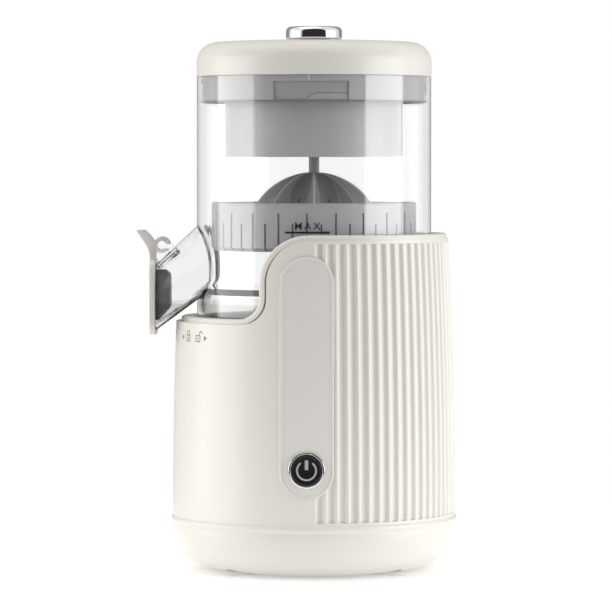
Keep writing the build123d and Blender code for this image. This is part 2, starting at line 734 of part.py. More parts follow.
# Cup: one clear moulding with its floor raised above the foot, a chimney round the shaft,
# a covered spout with two ears for the cap, lugs on the foot and lugs in the neck.
with BuildPart() as juice_cup:
    with BuildSketch(Plane.XY.offset(CUP_FOOT)):
        Circle(CUP_R)
    extrude(amount=CUP_TOP - CUP_FOOT)
    loft(spout_block(0, ROOT_X + 7.0, MOUTH_X))
    # room above and below the floor
    with BuildSketch(Plane.XY.offset(CUP_FLOOR)):
        Circle(CUP_IN_R)
        Circle(CHIMNEY_R, mode=Mode.SUBTRACT)
    extrude(amount=CUP_TOP - CUP_FLOOR, mode=Mode.SUBTRACT)
    with BuildSketch(Plane.XY.offset(CUP_LEDGE)):
        Circle(NECK_IN_R)
    extrude(amount=CUP_TOP - CUP_LEDGE, mode=Mode.SUBTRACT)
    with BuildSketch(Plane.XY.offset(CHIMNEY_TOP)):
        Circle(CHIMNEY_R + 1)
    extrude(amount=CUP_TOP - CHIMNEY_TOP, mode=Mode.SUBTRACT)
    with BuildSketch(Plane.XY.offset(CUP_FOOT)):
        Circle(CUP_IN_R)
    extrude(amount=CUP_FLOOR - CUP_FLOOR_THICK - CUP_FOOT, mode=Mode.SUBTRACT)
    with BuildSketch(Plane.XY.offset(CUP_FOOT)):
        Circle(CHIMNEY_IN_R)
    extrude(amount=CHIMNEY_TOP - CUP_FOOT, mode=Mode.SUBTRACT)
    loft(spout_block(SPOUT_WALL, ROOT_X + 9.0, MOUTH_X - 1.0), mode=Mode.SUBTRACT)
    # collar that the strainer stands on
    with BuildSketch(Plane.XY.offset(STRAINER_SEAT - 3.0)):
        Circle(10.5)
        Circle(CHIMNEY_R - 0.2, mode=Mode.SUBTRACT)
    extrude(amount=3.0)
    # lugs on the foot
    with BuildSketch(Plane.XY.offset(CUP_FOOT + 2.0)):
        Circle(CUP_R + 0.9)
        Circle(CUP_R - 0.5, mode=Mode.SUBTRACT)
        with PolarLocations(CUP_R, LOCK_LUGS, start_angle=60):
            Rectangle(8, 14, mode=Mode.INTERSECT)
    extrude(amount=2.5)
    # ears and the bar for the cap
    with BuildSketch(Plane.XZ.offset(-9.4)):
        with BuildLine():
            Polyline(
                (HINGE_X - 2.2, 134.6),
                (HINGE_X - 2.7, HINGE_Z),
                (HINGE_X - 1.5, HINGE_Z + 2.5),
                (HINGE_X + 1.5, HINGE_Z + 2.5),
                (HINGE_X + 7.5, 142.8),
                (HINGE_X + 7.5, 141.3),
                close=True,
            )
        make_face()
    extrude(amount=2.4)
    with BuildSketch(Plane.XZ.offset(7.0)):
        with BuildLine():
            Polyline(
                (HINGE_X - 2.2, 134.6),
                (HINGE_X - 2.7, HINGE_Z),
                (HINGE_X - 1.5, HINGE_Z + 2.5),
                (HINGE_X + 1.5, HINGE_Z + 2.5),
                (HINGE_X + 7.5, 142.8),
                (HINGE_X + 7.5, 141.3),
                close=True,
            )
        make_face()
    extrude(amount=2.4)
    with BuildSketch(Plane.XZ.offset(-8.0)):
        with Locations((HINGE_X, HINGE_Z)):
            Circle(HINGE_PIN_R)
    extrude(amount=16.0)
pieces["juice_cup"] = juice_cup


def ridge_section(z, crest, valley, fins):
    """A star with pointed crests and hollow sides, at height z."""
    with BuildSketch(Plane.XY.offset(z), mode=Mode.PRIVATE) as section:
        with BuildLine():
            step = 360 / fins
            for fin in range(fins):
                at = fin * step
                ThreePointArc(polar(crest, at), polar(valley, at + step / 2), polar(crest, at + step))
        make_face()
    return section.sketch


# Reamer: a ribbed dome on a hub that turns in the chimney and is driven through its socket.
with BuildPart() as reamer:
    heights = [REAMER_FOOT, 154.0, 159.0, 164.0, 169.0, 173.0, 176.0, 177.5, 177.95]
    stars = []
    for z in heights:
        crest = math.sqrt(REAMER_R**2 - (z - REAMER_APEX + REAMER_R) ** 2)
        stars.append(ridge_section(z, crest, crest * 0.70, REAMER_FINS))
    loft(stars)
    with BuildSketch(Plane.XZ):
        with BuildLine():
            Polyline((0, REAMER_FOOT - 1), (19.0, REAMER_FOOT - 1), (18.0, 155.0), (12.0, 164.0), (0, 164.0), close=True)
        make_face()
    revolve(axis=Axis.Z, mode=Mode.SUBTRACT)
    with BuildSketch(Plane.XY.offset(106.0)):
        Circle(CHIMNEY_IN_R - 0.08)
    extrude(amount=59.0)
    # socket with two stops for the shaft's wings
    with BuildSketch(Plane.XY.offset(106.0)):
        Circle(3.9)
        with Locations((0, 3.5), (0, -3.5)):
            Rectangle(1.8, 2.0, mode=Mode.SUBTRACT)
    extrude(amount=9.0, mode=Mode.SUBTRACT)
    # hole for the stem
    with BuildSketch(Plane.XY.offset(160.0)):
        RegularPolygon(STEM_ACROSS_CORNERS / 2, 6)
    extrude(amount=30.0, mode=Mode.SUBTRACT)
pieces["reamer"] = reamer

with BuildPart() as reamer_stem:
    with BuildSketch(Plane.XY.offset(160.0)):
        RegularPolygon(STEM_ACROSS_CORNERS / 2, 6)
    extrude(amount=STEM_TOP - 160.0)
pieces["reamer_stem"] = reamer_stem

# Strainer: a slotted basket that stands on the chimney's collar.
with BuildPart() as strainer:
    with BuildSketch(Plane.XZ):
        with BuildLine():
            Polyline(
                (8.0, STRAINER_SEAT),
                (11.5, STRAINER_SEAT),
                (11.5, STRAINER_BOTTOM),
                (STRAINER_R - 1.6, STRAINER_BOTTOM),
                (STRAINER_R, STRAINER_BOTTOM + 1.6),
                (STRAINER_R, STRAINER_TOP - 0.6),
                (STRAINER_R - 0.6, STRAINER_TOP),
                (STRAINER_R - STRAINER_WALL, STRAINER_TOP),
                (STRAINER_R - STRAINER_WALL, STRAINER_BOTTOM + 2.2),
                (STRAINER_R - STRAINER_WALL - 0.6, STRAINER_BOTTOM + 1.6),
                (8.0, STRAINER_BOTTOM + 1.6),
                close=True,
            )
        make_face()
    revolve(axis=Axis.Z)
    with BuildSketch(Plane.XY.offset(STRAINER_BOTTOM - 1)):
        with PolarLocations(STRAINER_R, SLITS // 2):
            Rectangle(12, SLIT_WIDTH)
    extrude(amount=STRAINER_TOP - 4.3 - STRAINER_BOTTOM + 1, mode=Mode.SUBTRACT)
    with BuildSketch(Plane.XY.offset(STRAINER_BOTTOM - 1)):
        with PolarLocations(STRAINER_R, SLITS // 2, start_angle=360 / SLITS):
            Rectangle(12, SLIT_WIDTH)
    extrude(amount=STRAINER_TOP - 9.0 - STRAINER_BOTTOM + 1, mode=Mode.SUBTRACT)
    with BuildSketch(Plane.XY.offset(STRAINER_BOTTOM - 1)):
        with PolarLocations(26.0, 24):
            Rectangle(18, SLIT_WIDTH)
    extrude(amount=4.0, mode=Mode.SUBTRACT)
pieces["strainer"] = strainer

# Spout cap: a hooked lever that hangs on the cup's bar, with a soft plug for the spout.
with BuildPart() as spout_cap:
    face_x = MOUTH_X - CAP_GAP
    with BuildSketch(Plane.YZ.offset(face_x - CAP_PLATE)):
        with Locations((0, (CAP_BOTTOM + CAP_TOP) / 2)):
            RectangleRounded(CAP_WIDTH, CAP_TOP - CAP_BOTTOM, 6.0)
    extrude(amount=CAP_PLATE)
    with BuildSketch(Plane.XZ.offset(-HOOK_WIDTH / 2)):
        with BuildLine():
            Polyline(
                (face_x - CAP_PLATE, CAP_TOP - 3.0),
                (-73.8, 141.5),
                (-74.7, 144.3),
                (-77.0, 148.0),
                (-79.7, 151.9),
                (-76.2, 152.2),
                (-73.5, 149.8),
                (-71.9, 147.4),
                (HINGE_X, HINGE_Z + HOOK_R),
                (HINGE_X, HINGE_Z - HOOK_R),
                (face_x, HINGE_Z - HOOK_R + 0.4),
                (face_x, CAP_TOP - 3.0),
                close=True,
            )
        make_face()
        with Locations((HINGE_X, HINGE_Z)):
            Circle(HOOK_R)
            Circle(HINGE_PIN_R + RUNNING, mode=Mode.SUBTRACT)
        with Locations((HINGE_X + 3.0, HINGE_Z - 0.8)):
            Rectangle(4.5, 2.2, mode=Mode.SUBTRACT)
    extrude(amount=HOOK_WIDTH)
pieces["spout_cap"] = spout_cap

with BuildPart() as spout_plug:
    with BuildSketch(Plane.XZ.offset(-13.0)):
        with BuildLine():
            Polyline(
                (face_x, 112.0),
                (face_x + 2.0, 112.0),
                (face_x + 6.7, 117.5),
                (face_x + 6.7, 132.5),
                (face_x + 4.7, 134.3),
                (face_x, 134.3),
                close=True,
            )
        make_face()
    extrude(amount=26.0)
    with BuildSketch(Plane.YZ.offset(face_x)):
        with Locations((0, 120.1)):
            Circle(14.2)
        with Locations((0, 110.1)):
            Rectangle(28.4, 20.0)
    extrude(amount=10.0, mode=Mode.INTERSECT)
pieces["spout_plug"] = spout_plug

# ================================================================ lid
# Lid gasket: the soft ring under the lid's skirt, on the ledge in the cup's neck.
with BuildPart() as lid_gasket:
    with BuildSketch(Plane.XY.offset(CUP_LEDGE)):
        Circle(NECK_IN_R - 0.15)
        Circle(CUP_IN_R, mode=Mode.SUBTRACT)
    extrude(amount=SEAL_THICK)
pieces["lid_gasket"] = lid_gasket

# Lid cover: a shallow domed cap.
with BuildPart() as lid_cover:
    shoulder = LID_TOP - LID_CROWN
    half = math.sqrt(0.5)
    inner_r = LID_CORNER_R - LID_WALL
    centre_r = LID_R - LID_CORNER_R
    centre_z = shoulder - LID_CORNER_R
    with BuildSketch(Plane.XZ):
        with BuildLine():
            Line((LID_R, LID_BOTTOM), (LID_R, centre_z))
            ThreePointArc(
                (LID_R, centre_z),
                (centre_r + LID_CORNER_R * half, centre_z + LID_CORNER_R * half),
                (centre_r, shoulder),
            )
            ThreePointArc((centre_r, shoulder), (centre_r / 2, shoulder + LID_CROWN * 0.75), (0, LID_TOP))
            Polyline((0, LID_TOP), (0, shoulder - LID_WALL), (centre_r, shoulder - LID_WALL))
            ThreePointArc(
                (centre_r, shoulder - LID_WALL),
                (centre_r + inner_r * half, centre_z + inner_r * half),
                (LID_R - LID_WALL, centre_z),
            )
            Polyline((LID_R - LID_WALL, centre_z), (LID_R - LID_WALL, LID_BOTTOM), (LID_R, LID_BOTTOM))
        make_face()
    revolve(axis=Axis.Z)
    # boss and hole for the press screw's neck
    with BuildSketch(Plane.XY.offset(shoulder - LID_WALL - 2.0)):
        Circle(9.0)
    extrude(amount=2.5)
    with BuildSketch(Plane.XY.offset(shoulder - LID_WALL - 3.0)):
        Circle(5.0 + RUNNING)
    extrude(amount=10.0, mode=Mode.SUBTRACT)
    # posts that take the skirt's screws
    with BuildSketch(Plane.XY.offset(214.6)):
        with PolarLocations(45.3, 4, start_angle=45):
            Circle(2.6)
            Circle(1.2, mode=Mode.SUBTRACT)
    extrude(amount=shoulder - LID_WALL - 214.6 + 0.5)
pieces["lid_cover"] = lid_cover

# Lid skirt: the ring that goes down into the cup's neck, with four lug tracks outside
# and a flange inside that guides the press block.
with BuildPart() as lid_skirt:
    with BuildSketch(Plane.XY.offset(CUP_LEDGE + SEAL_THICK)):
        Circle(RING_R)
        Circle(RING_R - RING_WALL, mode=Mode.SUBTRACT)
    extrude(amount=LID_BOTTOM - CUP_LEDGE - SEAL_THICK)
    with BuildSketch(Plane.XY.offset(LID_BOTTOM)):
        Circle(RING_TUCK_R)
        Circle(RING_R - RING_WALL, mode=Mode.SUBTRACT)
    extrude(amount=4.0)
    with BuildSketch(Plane.XY.offset(CUP_LEDGE + SEAL_THICK)):
        Circle(RING_R - RING_WALL + 0.2)
        Circle(PRESS_R + CLEAR, mode=Mode.SUBTRACT)
        with PolarLocations(PRESS_R, 3, start_angle=30):
            Rectangle(3.0, 3.0)
    extrude(amount=2.6)
    # pads under the cover's posts, and the screws' holes through them
    with BuildSketch(Plane.XY.offset(CUP_LEDGE + SEAL_THICK)):
        with PolarLocations(45.3, 4, start_angle=45):
            Circle(3.2)
    extrude(amount=214.6 - CUP_LEDGE - SEAL_THICK)
    with BuildSketch(Plane.XY.offset(CUP_LEDGE)):
        with PolarLocations(45.3, 4, start_angle=45):
            Circle(1.5)
    extrude(amount=10, mode=Mode.SUBTRACT)
    with BuildSketch(Plane.XY.offset(CUP_LEDGE)):
        with PolarLocations(45.3, 4, start_angle=45):
            Circle(2.6)
    extrude(amount=3.0, mode=Mode.SUBTRACT)
    # tracks for the cup's lugs
    for track in range(LID_LUGS):
        start = -20.5 + track * 90
        end = LID_LUG_END + 0.8 + track * 90
        with BuildSketch(Plane.XY.offset(CUP_LEDGE)):
            with BuildLine():
                Line(polar(RING_R - 0.9, start), polar(RING_R + 1, start))
                ThreePointArc(
                    polar(RING_R + 1, start),
                    polar(RING_R + 1, (start + end) / 2),
                    polar(RING_R + 1, end),
                )
                Line(polar(RING_R + 1, end), polar(RING_R - 0.9, end))
                ThreePointArc(
                    polar(RING_R - 0.9, end),
                    polar(RING_R - 0.9, (start + end) / 2),
                    polar(RING_R - 0.9, start),
                )
            make_face()
        extrude(amount=218.0 - CUP_LEDGE, mode=Mode.SUBTRACT)
pieces["lid_skirt"] = lid_skirt

with BuildPart() as skirt_screws:
    with BuildSketch(Plane.XY.offset(CUP_LEDGE + 1.4)):
        with PolarLocations(45.3, 4, start_angle=45):
            Circle(2.4)
    extrude(amount=1.6)
    with BuildSketch(Plane.XY.offset(CUP_LEDGE + 3.0)):
        with PolarLocations(45.3, 4, start_angle=45):
            Circle(1.2)
    extrude(amount=10.0)
pieces["skirt_screws"] = skirt_screws

# Press screw: hangs from the cover by its collar and is turned by the knob.
with BuildPart() as press_screw:
    under = LID_TOP - LID_CROWN - LID_WALL - 2.0
    with BuildSketch(Plane.XY.offset(192.0)):
        Circle(SCREW_R)
    extrude(amount=under - CLEAR - 192.0)
    with BuildSketch(Plane.XY.offset(under - CLEAR - 2.0)):
        Circle(9.6)
    extrude(amount=2.0)
    with BuildSketch(Plane.XY.offset(under - CLEAR)):
        Circle(5.0)
    extrude(amount=LID_TOP + CLEAR - under + CLEAR)
    with BuildSketch(Plane.XY.offset(192.0)):
        Circle(3.0)
    extrude(amount=228.0 - 192.0, mode=Mode.SUBTRACT)
    with BuildSketch(Plane.XY.offset(192.0)):
        Circle(1.5)
    extrude(amount=60.0, mode=Mode.SUBTRACT)
pieces["press_screw"] = press_screw

with BuildPart() as knob_screw:
    with BuildSketch(Plane.XY.offset(226.0)):
        Circle(2.6)
    extrude(amount=2.0)
    with BuildSketch(Plane.XY.offset(228.0)):
        Circle(1.5)
    extrude(amount=LID_TOP + 4.0 - 228.0)
pieces["knob_screw"] = knob_screw

with BuildPart() as knob:
    with BuildSketch(Plane.XY.offset(LID_TOP + CLEAR)):
        Circle(12.6)
    extrude(amount=5.8)
    fillet(knob.edges().group_by(Axis.Z)[-1], 1.6)
    chamfer(knob.edges().group_by(Axis.Z)[0], 0.4)
    with BuildSketch(Plane.XY.offset(LID_TOP)):
        Circle(1.5)
    extrude(amount=4.0, mode=Mode.SUBTRACT)
pieces["knob"] = knob

# Press block: a hollow-faced drum on a nut, kept from turning by three grooves in its side.
with BuildPart() as press_block:
    depth = PRESS_CAVITY_TOP - PRESS_BOTTOM
    cavity_r = (PRESS_CAVITY_R**2 + depth**2) / (2 * depth)
    shell_r = cavity_r + 2.5
    cavity_z = PRESS_CAVITY_TOP - cavity_r
    with BuildSketch(Plane.XY.offset(PRESS_BOTTOM)):
        Circle(PRESS_R)
    extrude(amount=229.5 - PRESS_BOTTOM)
    # hollow face
    with BuildSketch(Plane.XZ):
        with Locations((0, cavity_z)):
            Circle(cavity_r)
        with Locations((-50, cavity_z)):
            Rectangle(100, 200, mode=Mode.SUBTRACT)
        with Locations((0, PRESS_BOTTOM - 50.5)):
            Rectangle(200, 100, mode=Mode.SUBTRACT)
    revolve(axis=Axis.Z, mode=Mode.SUBTRACT)
    # room above it, round the nut
    with BuildSketch(Plane.XZ):
        with BuildLine():
            Polyline((TUBE_R, 209.5), (22.0, 208.0), (37.6, 196.0), (37.6, 230), (TUBE_R, 230), close=True)
        make_face()
    revolve(axis=Axis.Z, mode=Mode.SUBTRACT)
    with BuildSketch(Plane.XY.offset(227.0)):
        Circle(TUBE_R + 1)
    extrude(amount=5.0, mode=Mode.SUBTRACT)
    with BuildSketch(Plane.XY.offset(PRESS_BOTTOM)):
        Circle(TUBE_IN_R)
    extrude(amount=60.0, mode=Mode.SUBTRACT)
    with BuildSketch(Plane.XY.offset(CUP_LEDGE + SEAL_THICK - CLEAR)):
        with PolarLocations(PRESS_R, 3, start_angle=30):
            Rectangle(3.6, 3.6)
    extrude(amount=30.0, mode=Mode.SUBTRACT)
pieces["press_block"] = press_block

# lugs in the cup's neck, which the lid's tracks run on
with BuildPart() as cup_whole:
    add(juice_cup.part)
    for lug in range(LID_LUGS):
        start = LID_LUG_START + lug * 90
        end = LID_LUG_END + lug * 90
        with BuildSketch(Plane.XY.offset(213.4)):
            with BuildLine():
                Line(polar(NECK_IN_R - 0.75, start), polar(NECK_IN_R + 0.5, start))
                ThreePointArc(
                    polar(NECK_IN_R + 0.5, start),
                    polar(NECK_IN_R + 0.5, (start + end) / 2),
                    polar(NECK_IN_R + 0.5, end),
                )
                Line(polar(NECK_IN_R + 0.5, end), polar(NECK_IN_R - 0.75, end))
                ThreePointArc(
                    polar(NECK_IN_R - 0.75, end),
                    polar(NECK_IN_R - 0.75, (start + end) / 2),
                    polar(NECK_IN_R - 0.75, start),
                )
            make_face()
        extrude(amount=4.0)
pieces["juice_cup"] = cup_whole

os.makedirs("parts", exist_ok=True)
for name, piece in pieces.items():
    piece.part.label = name
    export_step(piece.part, f"parts/{name}.step")
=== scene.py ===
"""Portable citrus press juicer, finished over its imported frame. Metres, +Z up, button at -Y, spout at -X."""

import math

import bmesh
import bpy
from mathutils import Matrix, Vector


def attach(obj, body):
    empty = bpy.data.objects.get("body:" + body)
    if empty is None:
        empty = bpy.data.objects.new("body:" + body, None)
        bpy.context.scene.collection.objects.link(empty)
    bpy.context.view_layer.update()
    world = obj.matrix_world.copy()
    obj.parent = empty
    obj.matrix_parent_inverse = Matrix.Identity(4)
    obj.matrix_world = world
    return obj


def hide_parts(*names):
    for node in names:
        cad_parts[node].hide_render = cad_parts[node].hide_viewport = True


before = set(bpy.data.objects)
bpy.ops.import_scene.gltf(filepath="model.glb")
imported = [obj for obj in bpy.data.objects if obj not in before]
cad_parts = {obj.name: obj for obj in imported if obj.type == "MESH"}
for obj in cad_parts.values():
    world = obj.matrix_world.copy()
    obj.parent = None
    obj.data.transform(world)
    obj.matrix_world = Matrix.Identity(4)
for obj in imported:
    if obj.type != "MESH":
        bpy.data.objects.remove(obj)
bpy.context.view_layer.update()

# ---------------------------------------------------------------- studio
# A white table top that fades into a white surround, with a long soft lamp at table height on each
# side, a soft one overhead and a dark room in front, seen with a long lens a little above the middle.
MM = 0.001
bpy.ops.object.select_all(action="DESELECT")
bpy.ops.object.camera_add(location=(-3.6 * MM, -1710 * MM, 183.5 * MM))
camera = bpy.context.object
camera.name = "camera"
camera.data.lens = 223.5
camera.data.sensor_width = 36.0
camera.data.clip_end = 20.0
aim = Vector((-3.6 * MM, 0.0, 117.8 * MM)) - camera.location
camera.rotation_euler = aim.to_track_quat("-Z", "Y").to_euler()
bpy.context.scene.camera = camera

bpy.ops.mesh.primitive_circle_add(vertices=96, radius=0.9, fill_type="NGON", location=(0, 0, 0))
floor = bpy.context.object
floor.name = "floor"
paper = bpy.data.materials.new("white_table")
paper.use_nodes = True
nodes, links = paper.node_tree.nodes, paper.node_tree.links
top = nodes["Principled BSDF"]
top.inputs["Base Color"].default_value = (0.93, 0.93, 0.93, 1)
top.inputs["Roughness"].default_value = 0.9
top.inputs["Emission Color"].default_value = (1, 1, 1, 1)
top.inputs["Emission Strength"].default_value = 0.22
gone = nodes.new("ShaderNodeBsdfTransparent")
place = nodes.new("ShaderNodeTexCoord")
reach = nodes.new("ShaderNodeVectorMath")
reach.operation = "LENGTH"
fade = nodes.new("ShaderNodeMapRange")
fade.interpolation_type = "SMOOTHSTEP"
fade.inputs["From Min"].default_value = 0.12
fade.inputs["From Max"].default_value = 0.50
edge = nodes.new("ShaderNodeMixShader")
links.new(place.outputs["Object"], reach.inputs[0])
links.new(reach.outputs["Value"], fade.inputs["Value"])
links.new(fade.outputs["Result"], edge.inputs["Fac"])
links.new(top.outputs["BSDF"], edge.inputs[1])
links.new(gone.outputs["BSDF"], edge.inputs[2])
links.new(edge.outputs["Shader"], nodes["Material Output"].inputs["Surface"])
floor.data.materials.append(paper)


def lamp(name, place, target, size, watts, colour=(1, 1, 1)):
    """A square soft lamp at place, facing target."""
    bpy.ops.object.light_add(type="AREA", location=place)
    light = bpy.context.object
    light.name = name
    light.data.shape = "RECTANGLE"
    light.data.size, light.data.size_y = size
    light.data.energy = watts
    light.data.color = colour
    light.rotation_euler = (Vector(target) - Vector(place)).to_track_quat("-Z", "Y").to_euler()
    light.visible_camera = False
    return light


lamp("left_window", (-1.19, -0.12, 0.26), (0, 0, 0.22), (1.05, 0.72), 6.4, (1.0, 0.985, 0.95))
lamp("right_window", (1.15, -0.34, 0.26), (0, 0, 0.22), (1.0, 0.72), 7.6, (0.985, 0.995, 1.0))
lamp("overhead", (-0.2, -0.1, 1.3), (0, 0, 0.1), (1.0, 1.0), 3.0)
world = bpy.data.worlds.new("studio")
bpy.context.scene.world = world
world.use_nodes = True
nodes, links = world.node_tree.nodes, world.node_tree.links
facing = nodes.new("ShaderNodeTexCoord")
split = nodes.new("ShaderNodeSeparateXYZ")
spread = nodes.new("ShaderNodeMapRange")
spread.inputs["From Min"].default_value = -1.0
links.new(facing.outputs["Generated"], split.inputs[0])
links.new(split.outputs["Y"], spread.inputs["Value"])
walls = []
# the first set lights the object's surfaces, the second is what they mirror; each runs front to back
for stops in (
    ((0.0, 0.36), (0.25, 0.42), (0.55, 0.80), (1.0, 0.95)),
    ((0.0, 0.03), (0.17, 0.03), (0.22, 0.85), (0.75, 0.85), (0.80, 0.30), (1.0, 0.30)),
):
    wall = nodes.new("ShaderNodeValToRGB")
    while len(wall.color_ramp.elements) < len(stops):
        wall.color_ramp.elements.new(0.5)
    for stop, (position, grey_level) in zip(wall.color_ramp.elements, stops):
        stop.position, stop.color = position, (grey_level, grey_level, grey_level, 1)
    links.new(spread.outputs["Result"], wall.inputs["Fac"])
    walls.append(wall.outputs["Color"])
seen = nodes.new("ShaderNodeLightPath").outputs


def rays(operation, kind, other):
    """1 for the rays of one kind, with or without those of another."""
    mask = nodes.new("ShaderNodeMath")
    mask.operation, mask.use_clamp = operation, True
    links.new(seen[kind], mask.inputs[0])
    links.new(seen[other], mask.inputs[1])
    return mask.outputs[0]


mirrored = rays("SUBTRACT", "Is Glossy Ray", "Is Transmission Ray")
straight = rays("ADD", "Is Camera Ray", "Is Transmission Ray")
around = walls[0]
for mask, level in ((mirrored, walls[1]), (straight, None)):
    mix = nodes.new("ShaderNodeMix")
    mix.data_type = "RGBA"
    links.new(mask, mix.inputs[0])
    links.new(around, mix.inputs[6])
    if level:
        links.new(level, mix.inputs[7])
    else:
        mix.inputs[7].default_value = (1, 1, 1, 1)
    around = mix.outputs[2]
links.new(around, nodes["Background"].inputs["Color"])
bpy.context.scene.view_settings.view_transform = "Standard"


# ---------------------------------------------------------------- body shell
# The outer tube of the base, injection moulded in ivory plastic and slightly barrelled. Its right half
# is ribbed, and its top edge drops in a double curve on each side to make room for the spout.
class Value:
    """A shader value that adds its Math nodes when it is used in an expression."""

    def __init__(self, finish, socket):
        self.finish, self.socket = finish, socket

    def maths(self, operation, *others):
        return self.finish.node("ShaderNodeMath", {"operation": operation}, dict(enumerate([self, *others])))

    def __add__(self, other):
        return self.maths("ADD", other)

    __radd__ = __add__

    def __mul__(self, other):
        return self.maths("MULTIPLY", other)

    __rmul__ = __mul__

    def __sub__(self, other):
        return self.maths("SUBTRACT", other)

    def __rsub__(self, other):
        return self.finish.node("ShaderNodeMath", {"operation": "SUBTRACT"}, {0: other, 1: self})

    def __pow__(self, other):
        return self.maths("POWER", other)

    def __gt__(self, other):
        return self.maths("GREATER_THAN", other)

    def __lt__(self, other):
        return self.maths("LESS_THAN", other)

    def size(self):
        return self.maths("ABSOLUTE")

    def rising(self, low, high):
        """0 below low and 1 above high, rising smoothly between them."""
        return self.finish.node(
            "ShaderNodeMapRange",
            {"interpolation_type": "SMOOTHSTEP"},
            {"Value": self, "From Min": low, "From Max": high},
        )


class Finish:
    """A named material with one Principled shader."""

    def __init__(self, name, colour, rough, **fixed):
        self.material = bpy.data.materials.new(name)
        self.material.use_nodes = True
        self.tree = self.material.node_tree
        self.shader = self.tree.nodes["Principled BSDF"]
        self.shader.inputs["Base Color"].default_value = (*colour, 1)
        self.shader.inputs["Roughness"].default_value = rough
        for socket, value in fixed.items():
            self.shader.inputs[socket.replace("_", " ")].default_value = value

    def node(self, kind, settings=None, sockets=None, out=0):
        node = self.tree.nodes.new(kind)
        for key, value in (settings or {}).items():
            setattr(node, key, value)
        for key, value in (sockets or {}).items():
            if isinstance(value, Value):
                self.tree.links.new(value.socket, node.inputs[key])
            else:
                node.inputs[key].default_value = value
        return Value(self, node.outputs[out])

    def place(self):
        return self.node("ShaderNodeTexCoord", out="Object")

    def parts(self, vector):
        """A vector's three parts."""
        split = self.node("ShaderNodeSeparateXYZ", {}, {0: vector}).socket.node
        return [Value(self, output) for output in split.outputs]

    def noise(self, scale, detail=2.0, roughness=0.5):
        sockets = {"Vector": self.place(), "Scale": scale, "Detail": detail, "Roughness": roughness}
        return self.node("ShaderNodeTexNoise", {"noise_dimensions": "3D"}, sockets)

    def drive(self, socket, value):
        self.tree.links.new(value.socket, self.shader.inputs[socket])

    def blend(self, mask, under, over):
        """The colour under, going over to the colour over where the mask is 1."""
        mix = self.tree.nodes.new("ShaderNodeMix")
        mix.data_type = "RGBA"
        for index, value in ((0, mask), (6, under), (7, over)):
            if isinstance(value, Value):
                self.tree.links.new(value.socket, mix.inputs[index])
            else:
                mix.inputs[index].default_value = (*value, 1)
        return Value(self, mix.outputs[2])

    def bump(self, height, depth):
        self.drive("Normal", self.node("ShaderNodeBump", {}, {"Height": height, "Distance": depth}))

    def clouded(self, dark, light, rough, spread):
        """A faint cloud of tone and a little change of gloss. Gives back the tone."""
        tone = self.blend(self.noise(18.0, 3.0), dark, light)
        self.drive("Base Color", tone)
        self.drive("Roughness", self.noise(60.0, 2.0) * spread + (rough - spread / 2))
        return tone

    def moulded(self, dark, light, rough, spread, grain, depth):
        """Moulded plastic: clouded, with a fine grain. Gives back its tone."""
        self.bump(self.noise(grain, 2.0, 0.6), depth)
        return self.clouded(dark, light, rough, spread)


def dress(finish, *nodes):
    """Gives CAD pieces their finish."""
    for node in nodes:
        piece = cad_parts[node]
        piece.data.materials.clear()
        piece.data.materials.append(finish.material)


ivory = Finish("ivory_plastic", (0.82, 0.79, 0.735), 0.30)
ivory.moulded((0.815, 0.786, 0.728), (0.835, 0.808, 0.755), 0.30, 0.06, 900.0, 0.00002)

FOOT, MIDDLE, HEAD = 24.2, 88.0, 148.4


def barrel(z):
    """The body's outer radius at height z, in millimetres."""
    low, mid, top = FOOT, MIDDLE, HEAD
    return (
        63.5 * (z - mid) * (z - top) / ((low - mid) * (low - top))
        + 62.7 * (z - low) * (z - top) / ((mid - low) * (mid - top))
        + 60.3 * (z - low) * (z - mid) / ((top - low) * (top - mid))
    )


def rim_line(drop):
    """The rim's double curve, low end first, as (x, z) in millimetres, drop below the lip's top."""
    line = []
    for step in range(19):
        a = math.radians(-90 + 90 * step / 18)
        line.append((-32.6 + (9.3 + drop) * math.cos(a), 123.0 + (9.3 + drop) * math.sin(a)))
    for step in range(25):
        a = math.radians(180 - 90 * step / 24)
        line.append((-2.3 + (21.0 - drop) * math.cos(a), 129.7 + (21.0 - drop) * math.sin(a)))
    return line


def drawn(name, points):
    """A closed bare outline, drawn one edge after another through points in millimetres."""
    bpy.ops.object.select_all(action="DESELECT")
    bpy.ops.mesh.primitive_plane_add(size=0.001, location=(0, 0, 0))
    piece = bpy.context.object
    piece.name = piece.data.name = name
    bpy.ops.object.mode_set(mode="EDIT")
    bpy.ops.mesh.select_all(action="SELECT")
    bpy.ops.mesh.merge(type="CENTER")
    corners = [Vector(p) * MM for p in points]
    bpy.ops.transform.translate(value=corners[0])
    for here, there in zip(corners, corners[1:]):
        bpy.ops.mesh.extrude_region_move(TRANSFORM_OT_translate={"value": there - here})
    bpy.ops.mesh.extrude_region_move(TRANSFORM_OT_translate={"value": corners[0] - corners[-1]})
    bpy.ops.mesh.select_all(action="SELECT")
    bpy.ops.mesh.remove_doubles(threshold=0.0000005)
    bpy.ops.mesh.select_all(action="SELECT")
    return piece


def closed(piece):
    """Turns all the faces of the piece in edit mode outwards, and leaves edit mode."""
    bpy.ops.mesh.select_all(action="SELECT")
    bpy.ops.mesh.normals_make_consistent(inside=False)
    bpy.ops.object.mode_set(mode="OBJECT")
    return piece


def block(name, outline, near, far):
    """A flat-ended block from an (x, z) outline, between two depths along Y, all in millimetres."""
    piece = drawn(name, [(x, near, z) for x, z in outline])
    bpy.ops.mesh.edge_face_add()
    bpy.ops.mesh.extrude_region_move(TRANSFORM_OT_translate={"value": (0, (far - near) * MM, 0)})
    return closed(piece)


